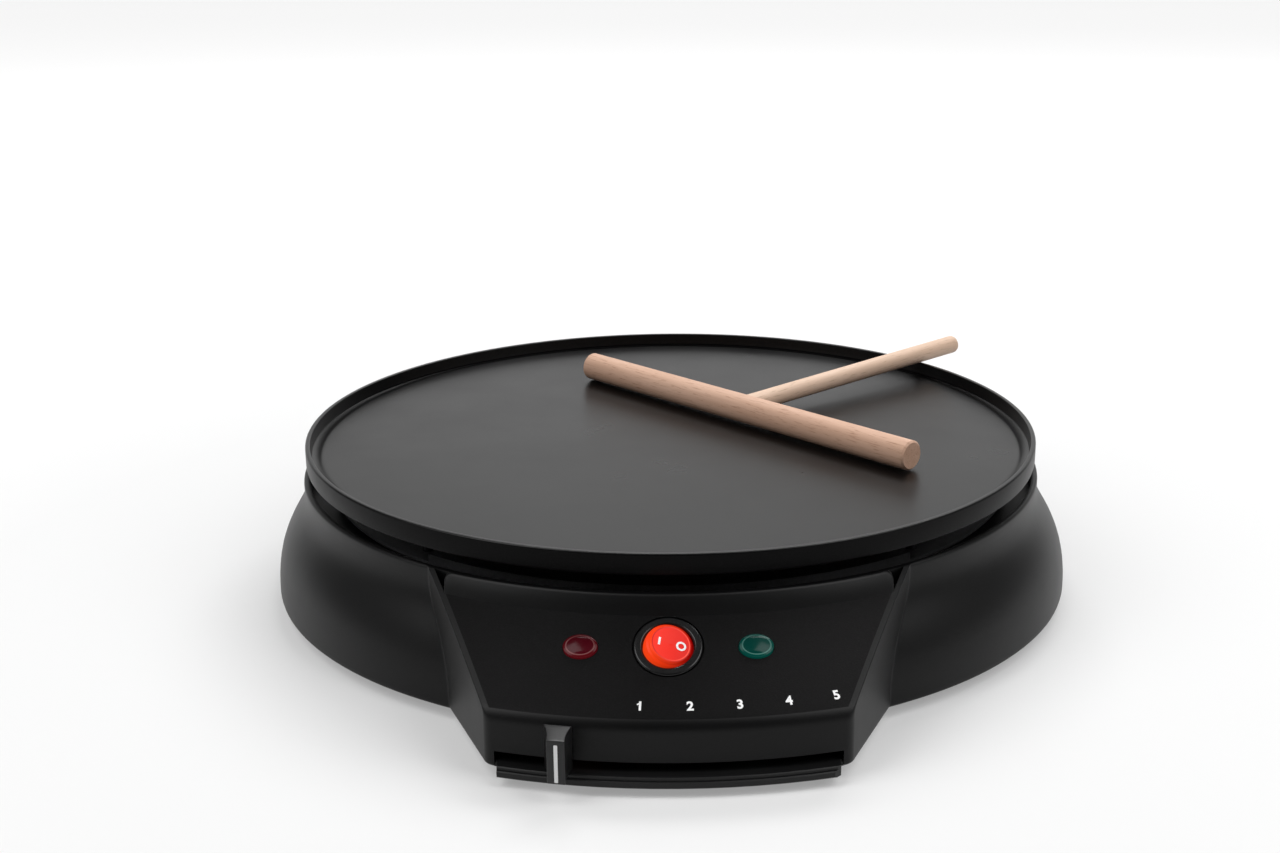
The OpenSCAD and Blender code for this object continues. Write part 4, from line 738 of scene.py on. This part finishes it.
def makeVisor():
    # low strip along the top of the control panel, its ends cut upright
    visor = dict(half=78.3, lowZ=44.6, topR=154.9, backR=153.3, topZ=52.4, edge=0.8, corner=3,
                 endEdge=0.6, steps=80)
    footR, footZ = shell["visorFootR"], shell["visorFootZ"]
    bearing = math.asin(visor["half"] / visor["topR"])

    def rounded(radius, fromEnd):
        return radius - math.sqrt(max(radius ** 2 - max(radius - fromEnd, 0) ** 2, 0))

    sections = []
    for i in range(visor["steps"] + 1):
        t = 2 * i / visor["steps"] - 1
        along = math.copysign(1 - (1 - abs(t)) ** 2, t)  # closer together near the ends
        fromEnd = visor["half"] - abs(visor["topR"] * math.sin(bearing * along))
        top = visor["topZ"] - rounded(visor["corner"], fromEnd)
        back = rounded(visor["endEdge"], fromEnd)
        lean = (visor["topR"] - footR) * (top - footZ) / (visor["topZ"] - footZ)
        faceR = footR + lean - back
        profile = [(footR - back, visor["lowZ"]), (footR - back, footZ)]
        profile += [(faceR + visor["edge"] * 0.55, top - visor["edge"]), (faceR + 0.12, top - 0.2)]
        profile += [(faceR - 0.35, top), (visor["backR"] + 0.5, top), (visor["backR"], top - 0.5)]
        profile += [(visor["backR"], visor["lowZ"])]
        turns = [(radius, z, math.asin(visor["half"] / radius) * along) for radius, z in profile]
        sections.append([(radius * math.sin(a), -radius * math.cos(a), z) for radius, z, a in turns])
    bm = bmesh.new()
    loft(bm, sections, capped=True)
    finishMesh("visorStrip", bm, [materials["shell"]], smooth=40)
    print("visor ready")


# ---- printed marks ----

def textMesh(name, text, height, thicken):
    capHeight, halfDepth = 0.7, 0.03  # of the font's size, and in millimetres
    curve = bpy.data.curves.new(name, "FONT")
    curve.body = text
    curve.size = height * mm / capHeight
    curve.offset = thicken * mm
    curve.resolution_u = 6
    curve.align_x = "CENTER"
    curve.align_y = "CENTER"
    curve.extrude = halfDepth * mm
    maker = bpy.data.objects.new(name, curve)
    bpy.context.collection.objects.link(maker)
    mesh = bpy.data.meshes.new_from_object(maker.evaluated_get(bpy.context.evaluated_depsgraph_get()))
    bpy.data.objects.remove(maker)
    return mesh


def placeMesh(name, mesh, place, mat):
    mesh.transform(place)
    mesh.materials.clear()
    mesh.materials.append(mat)
    obj = bpy.data.objects.new(name, mesh)
    bpy.context.collection.objects.link(obj)
    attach(obj, "base")


def addFlag(mesh, height):
    # short slanted stroke at the top of the 1
    bm = bmesh.new()
    bm.from_mesh(mesh)
    stroke = bmesh.ops.create_cube(bm, size=1)["verts"]
    bmesh.ops.scale(bm, vec=(0.36 * height * mm, 0.15 * height * mm, 0.06 * mm), verts=stroke)
    bmesh.ops.rotate(bm, cent=(0, 0, 0), matrix=Matrix.Rotation(math.radians(32), 3, "Z"), verts=stroke)
    bmesh.ops.translate(bm, vec=(-0.15 * height * mm, 0.3 * height * mm, 0), verts=stroke)
    bm.to_mesh(mesh)
    bm.free()


def makeNumbers():
    scale = dict(radius=189.4, first=-2.77, step=4.92, height=3.25, thicken=0.15, rise=0.04)
    for k in range(5):
        place = panelPlace(scale["radius"], scale["first"] + scale["step"] * k)
        place = place @ Matrix.Translation((0, 0, scale["rise"] * mm))
        mesh = textMesh("number", str(k + 1), scale["height"], scale["thicken"])
        if k == 0:
            addFlag(mesh, scale["height"])
        placeMesh("scaleNumber" + str(k + 1), mesh, place, materials["print"])
    print("numbers ready")


def makeSwitchMarks():
    # I and O, raised a little from the rocker's face
    marks = dict(left=-4.0, right=3.5, barW=0.75, barH=2.9, ringR=1.75, ringW=0.72, faceZ=3.68,
                 height=0.12)
    bar = bmesh.new()
    bmesh.ops.create_cube(bar, size=1)
    size = (marks["barW"] * mm, marks["barH"] * mm, marks["height"] * mm)
    bmesh.ops.scale(bar, vec=size, verts=bar.verts)
    bmesh.ops.translate(bar, vec=(marks["left"] * mm, 0, marks["faceZ"] * mm), verts=bar.verts)
    ring = bmesh.new()
    bmesh.ops.create_circle(ring, cap_ends=True, segments=48, radius=marks["ringR"] * mm)
    bmesh.ops.inset_region(ring, faces=ring.faces, thickness=marks["ringW"] * mm,
                           use_even_offset=True, use_boundary=True)
    middle = max(ring.faces, key=lambda face: len(face.verts))
    bmesh.ops.delete(ring, geom=[middle], context="FACES_ONLY")
    grown = bmesh.ops.extrude_face_region(ring, geom=ring.faces[:])["geom"]
    lifted = [item for item in grown if isinstance(item, bmesh.types.BMVert)]
    bmesh.ops.translate(ring, vec=(0, 0, marks["height"] * mm), verts=lifted)
    place = (marks["right"] * mm, 0, (marks["faceZ"] - marks["height"] / 2) * mm)
    bmesh.ops.translate(ring, vec=place, verts=ring.verts)
    for name, bm in (("markOn", bar), ("markOff", ring)):
        bmesh.ops.transform(bm, matrix=rockerPlace(), verts=bm.verts)
        bmesh.ops.recalc_face_normals(bm, faces=bm.faces)
        finishMesh(name, bm, [materials["print"]], body="rocker")
    print("switch marks ready")


def makeLens(name, node, side):
    # oval cap with a rounded rim on its round stem
    lens = dict(halfW=5.9, halfH=4.7, seat=0.8, domeR=22, top=1.6, rim=0.45, stemR=3.9, stemL=11,
                dishR=4.8, dishD=0.12)

    def domeZ(r):
        return lens["top"] - lens["domeR"] + math.sqrt(lens["domeR"] ** 2 - r ** 2)

    profile = [(0, -lens["stemL"]), (lens["stemR"], -lens["stemL"]), (lens["stemR"], -lens["seat"])]
    edgeZ = domeZ(lens["halfW"])
    cap = [(lens["halfW"], -lens["seat"]), (lens["halfW"], edgeZ - lens["rim"] - 0.1)]
    cap += arc(lens["halfW"] - lens["rim"], edgeZ - lens["rim"] + 0.05, lens["rim"], 0, 75, 5)
    for r in (5.0, 4.85, 4.7, 3.5, 2.2, 1.1, 0):
        cap.append((r, domeZ(r) - (lens["dishD"] if r < lens["dishR"] else 0)))
    bm = bmesh.new()
    verts = [bm.verts.new((r * mm, 0, z * mm)) for r, z in profile + cap]
    edges = [bm.edges.new(pair) for pair in zip(verts, verts[1:])]
    bmesh.ops.spin(bm, geom=verts + edges, cent=(0, 0, 0), axis=(0, 0, 1), dvec=(0, 0, 0),
                   angle=2 * math.pi, steps=72, use_merge=True)
    bmesh.ops.remove_doubles(bm, verts=bm.verts, dist=0.000001)
    # the cap is oval, the stem and the middle of the dish stay round
    lowest, roundR = -(lens["seat"] + 0.05) * mm, (lens["stemR"] + 0.3) * mm
    capVerts = [vert for vert in bm.verts if vert.co.z > lowest and vert.co.xy.length > roundR]
    bmesh.ops.scale(bm, vec=(1, lens["halfH"] / lens["halfW"], 1), verts=capVerts)
    bmesh.ops.transform(bm, matrix=lensPlace(side), verts=bm.verts)
    bmesh.ops.recalc_face_normals(bm, faces=bm.faces)
    obj = finishMesh(name, bm, [materials["redLens" if side < 0 else "greenLens"]], smooth=40)
    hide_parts(node)
    print(name, "ready")


def makeKnob():
    # upright grip on the arm's tongue: hollow sides, its front a little off the arm's line
    knob = dict(turn=-10.5, backR=196.3, frontR=207.4, backHalf=4.8, faceHalf=3.05, offset=2.0,
                edge=0.3, lineW=1.25, lineT=0.12, lineTop=1.5, lineLow=0.6, lineEdge=0.3)
    low, high = (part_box("slider_knob")[i][2] / mm for i in (0, 1))
    depth = knob["frontR"] - knob["backR"]

    def side(t, way):
        # t from 0 at the back to 1 at the front
        half = knob["faceHalf"] + (knob["backHalf"] - knob["faceHalf"]) * (1 - t) ** 2.4
        return (way * half + knob["offset"] * t, -(knob["backR"] + depth * t))

    steps = [i / 10 for i in range(11)]
    plan = [side(t, 1) for t in steps] + [side(t, -1) for t in reversed(steps)]
    bm = bmesh.new()
    loft(bm, [[(x, y, z) for x, y in plan] for z in (low, high)], capped=True)
    sharp = [edge for edge in bm.edges if edge.calc_face_angle(0) > math.radians(40)]
    bmesh.ops.bevel(bm, geom=sharp, offset=knob["edge"] * mm, segments=3, affect="EDGES",
                    profile=0.5, material=-1)
    turn = (Matrix.Translation((0, axisY, 0))
            @ Matrix.Rotation(math.radians(knob["turn"]), 4, "Z")
            @ Matrix.Translation((0, -axisY, 0)))
    bmesh.ops.transform(bm, matrix=turn, verts=bm.verts)
    obj = finishMesh("knobGrip", bm, [materials["knobBlack"]], body="temperature_lever", smooth=40)
    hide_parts("slider_knob")

    line = bmesh.new()
    bmesh.ops.create_cube(line, size=1)
    length = high - low - knob["lineTop"] - knob["lineLow"]
    bmesh.ops.scale(line, vec=(knob["lineW"] * mm, knob["lineT"] * mm, length * mm), verts=line.verts)
    corners = [edge for edge in line.edges
               if abs(edge.verts[0].co.y - edge.verts[1].co.y) > knob["lineT"] * mm / 2]
    bmesh.ops.bevel(line, geom=corners, offset=knob["lineEdge"] * mm, segments=4, affect="EDGES",
                    profile=0.5, material=-1)
    middleZ = low + knob["lineLow"] + length / 2
    middle = (knob["offset"] * mm, axisY - knob["frontR"] * mm, middleZ * mm)
    bmesh.ops.translate(line, vec=middle, verts=line.verts)
    bmesh.ops.transform(line, matrix=turn, verts=line.verts)
    finishMesh("knobLine", line, [materials["print"]], body="temperature_lever")
    print("knob ready")


# ---- CAD nodes that show as they are, with their finishes ----

finishes = dict(
    heating_element="sheath", element_terminals="ceramic", heat_reflector="sheet",
    base_cover="baseCover", rubber_feet="rubber", base_screws="steel", plate_screws="darkSteel",
    thermostat_bracket="steel", bracket_screws="steel", thermostat_body="ceramic",
    thermostat_blades="brass", thermostat_shaft="steel", slider_lever="steel",
    lever_nut="steel", switch_housing="switchBlack", switch_rocker="rocker",
    switch_terminals="brass", switch_lamp="lamp", indicator_lamps="lamp", lens_clips="steel",
    thermal_fuse="steel", fuse_clip="steel", terminal_block="ceramic", block_screws="brass",
    cord_gland="rubber", cord_clamp="ceramic", clamp_screws="steel", internal_wires="sleeve",
    spreader_rake="rake", spreader_handle="handle",
)


def paintNodes():
    for node, finish in finishes.items():
        for slot in nodes[node].material_slots:
            slot.material = materials[finish]
    print("finishes ready")


# ---- floor, world and lamps ----

def makeFloor():
    # sheet of paper that looks white further out and keeps the object's shadow
    paper = dict(size=30, grey=0.52, near=0.3, nearGlow=0.3, far=1.3, farGlow=0.8)
    bm = bmesh.new()
    bmesh.ops.create_grid(bm, x_segments=1, y_segments=1, size=paper["size"])
    mesh = bpy.data.meshes.new("floor")
    bm.to_mesh(mesh)
    bm.free()
    mat, tree, shader = newMaterial("paper", (paper["grey"],) * 3, 0.9, 0.2)
    rays = addNode(tree, "ShaderNodeLightPath")
    seen = addNode(tree, "ShaderNodeMath", operation="MAXIMUM")
    tree.links.new(rays.outputs["Is Camera Ray"], seen.inputs[0])
    tree.links.new(rays.outputs["Is Glossy Ray"], seen.inputs[1])
    through = addNode(tree, "ShaderNodeMath", operation="MAXIMUM")
    tree.links.new(seen.outputs[0], through.inputs[0])
    tree.links.new(rays.outputs["Is Transmission Ray"], through.inputs[1])
    glow = addNode(tree, "ShaderNodeEmission", Color=(1, 1, 1, 1))
    place = addNode(tree, "ShaderNodeTexCoord")
    away = addNode(tree, "ShaderNodeVectorMath", operation="LENGTH")
    tree.links.new(place.outputs["Object"], away.inputs[0])
    lift = addNode(tree, "ShaderNodeMath", operation="MULTIPLY")
    strength = addRange(tree, away.outputs["Value"], paper["nearGlow"], paper["farGlow"],
                        paper["near"], paper["far"])
    tree.links.new(strength, lift.inputs[1])
    tree.links.new(through.outputs[0], lift.inputs[0])
    tree.links.new(lift.outputs[0], glow.inputs["Strength"])
    both = addNode(tree, "ShaderNodeAddShader")
    tree.links.new(shader.outputs[0], both.inputs[0])
    tree.links.new(glow.outputs[0], both.inputs[1])
    tree.links.new(both.outputs[0], tree.nodes["Material Output"].inputs["Surface"])
    mesh.materials.append(mat)
    obj = bpy.data.objects.new("floor", mesh)
    bpy.context.collection.objects.link(obj)
    print("floor ready")


def makeWorld():
    # grey studio: light walls at the sides, a paler one behind the object, dim behind the
    # camera and overhead
    studio = dict(dim=0.06, side=0.3, back=1.0, rear=0.25, high=0.15, top=0.12, sideSpan=(0.3, 0.85),
                  rearSpan=(0.0, 0.5), backSpan=(0.5, 0.95), highSpan=(0.34, 0.6), topSpan=(0.5, 0.8))
    world = bpy.data.worlds.new("studio")
    bpy.context.scene.world = world
    world.use_nodes = True
    tree = world.node_tree
    place = addNode(tree, "ShaderNodeTexCoord")
    axes = addNode(tree, "ShaderNodeSeparateXYZ")
    tree.links.new(place.outputs["Generated"], axes.inputs[0])
    aside = addNode(tree, "ShaderNodeMath", operation="ABSOLUTE")
    tree.links.new(axes.outputs["X"], aside.inputs[0])
    side = addRange(tree, aside.outputs[0], studio["dim"], studio["side"], *studio["sideSpan"])
    fade = addRange(tree, axes.outputs["Y"], 1, studio["rear"], *studio["rearSpan"])
    walls = addNode(tree, "ShaderNodeMath", operation="MULTIPLY")
    tree.links.new(side, walls.inputs[0])
    tree.links.new(fade, walls.inputs[1])
    wall = addRange(tree, axes.outputs["Y"], studio["dim"], studio["back"], *studio["backSpan"])
    low = addRange(tree, axes.outputs["Z"], 1, studio["high"], *studio["highSpan"])
    back = addNode(tree, "ShaderNodeMath", operation="MULTIPLY")
    tree.links.new(wall, back.inputs[0])
    tree.links.new(low, back.inputs[1])
    lower = addNode(tree, "ShaderNodeMath", operation="MAXIMUM")
    tree.links.new(walls.outputs[0], lower.inputs[0])
    tree.links.new(back.outputs[0], lower.inputs[1])
    top = addRange(tree, axes.outputs["Z"], 0, studio["top"], *studio["topSpan"])
    level = addNode(tree, "ShaderNodeMath", operation="MAXIMUM")
    tree.links.new(lower.outputs[0], level.inputs[0])
    tree.links.new(top, level.inputs[1])
    background = tree.nodes["Background"]
    background.inputs["Color"].default_value = (1, 1, 1, 1)
    tree.links.new(level.outputs[0], background.inputs["Strength"])
    print("world ready")


def makeLamps():
    lamps = [
        dict(name="leftBox", place=(-0.85, -0.42, 1.2), aim=(0, 0, 0.03), size=(0.8, 1.4), power=12.5),
        dict(name="rightBox", place=(0.85, -0.42, 1.2), aim=(0, 0, 0.03), size=(0.8, 1.4), power=12.5),
        dict(name="backBox", place=(0.25, 1.1, 1.35), aim=(0, 0, 0.03), size=(1.3, 0.6), power=19),
    ]
    for lamp in lamps:
        data = bpy.data.lights.new(lamp["name"], "AREA")
        data.shape = "RECTANGLE"
        data.size, data.size_y = lamp["size"]
        data.energy = lamp["power"]
        obj = bpy.data.objects.new(lamp["name"], data)
        bpy.context.collection.objects.link(obj)
        place = Vector(lamp["place"])
        obj.location = place
        obj.rotation_euler = (Vector(lamp["aim"]) - place).to_track_quat("-Z", "Y").to_euler()
    print("light ready")


makeCamera()
makePlate()
makeHousing()
makeVisor()
makeNumbers()
makeLitMaterials()
makeSwitchMarks()
makeLens("redLensCap", "red_lens", -1)
makeLens("greenLensCap", "green_lens", 1)
makeKnob()
paintNodes()
makeFloor()
makeWorld()
makeLamps()
bpy.context.scene.view_settings.view_transform = "Standard"
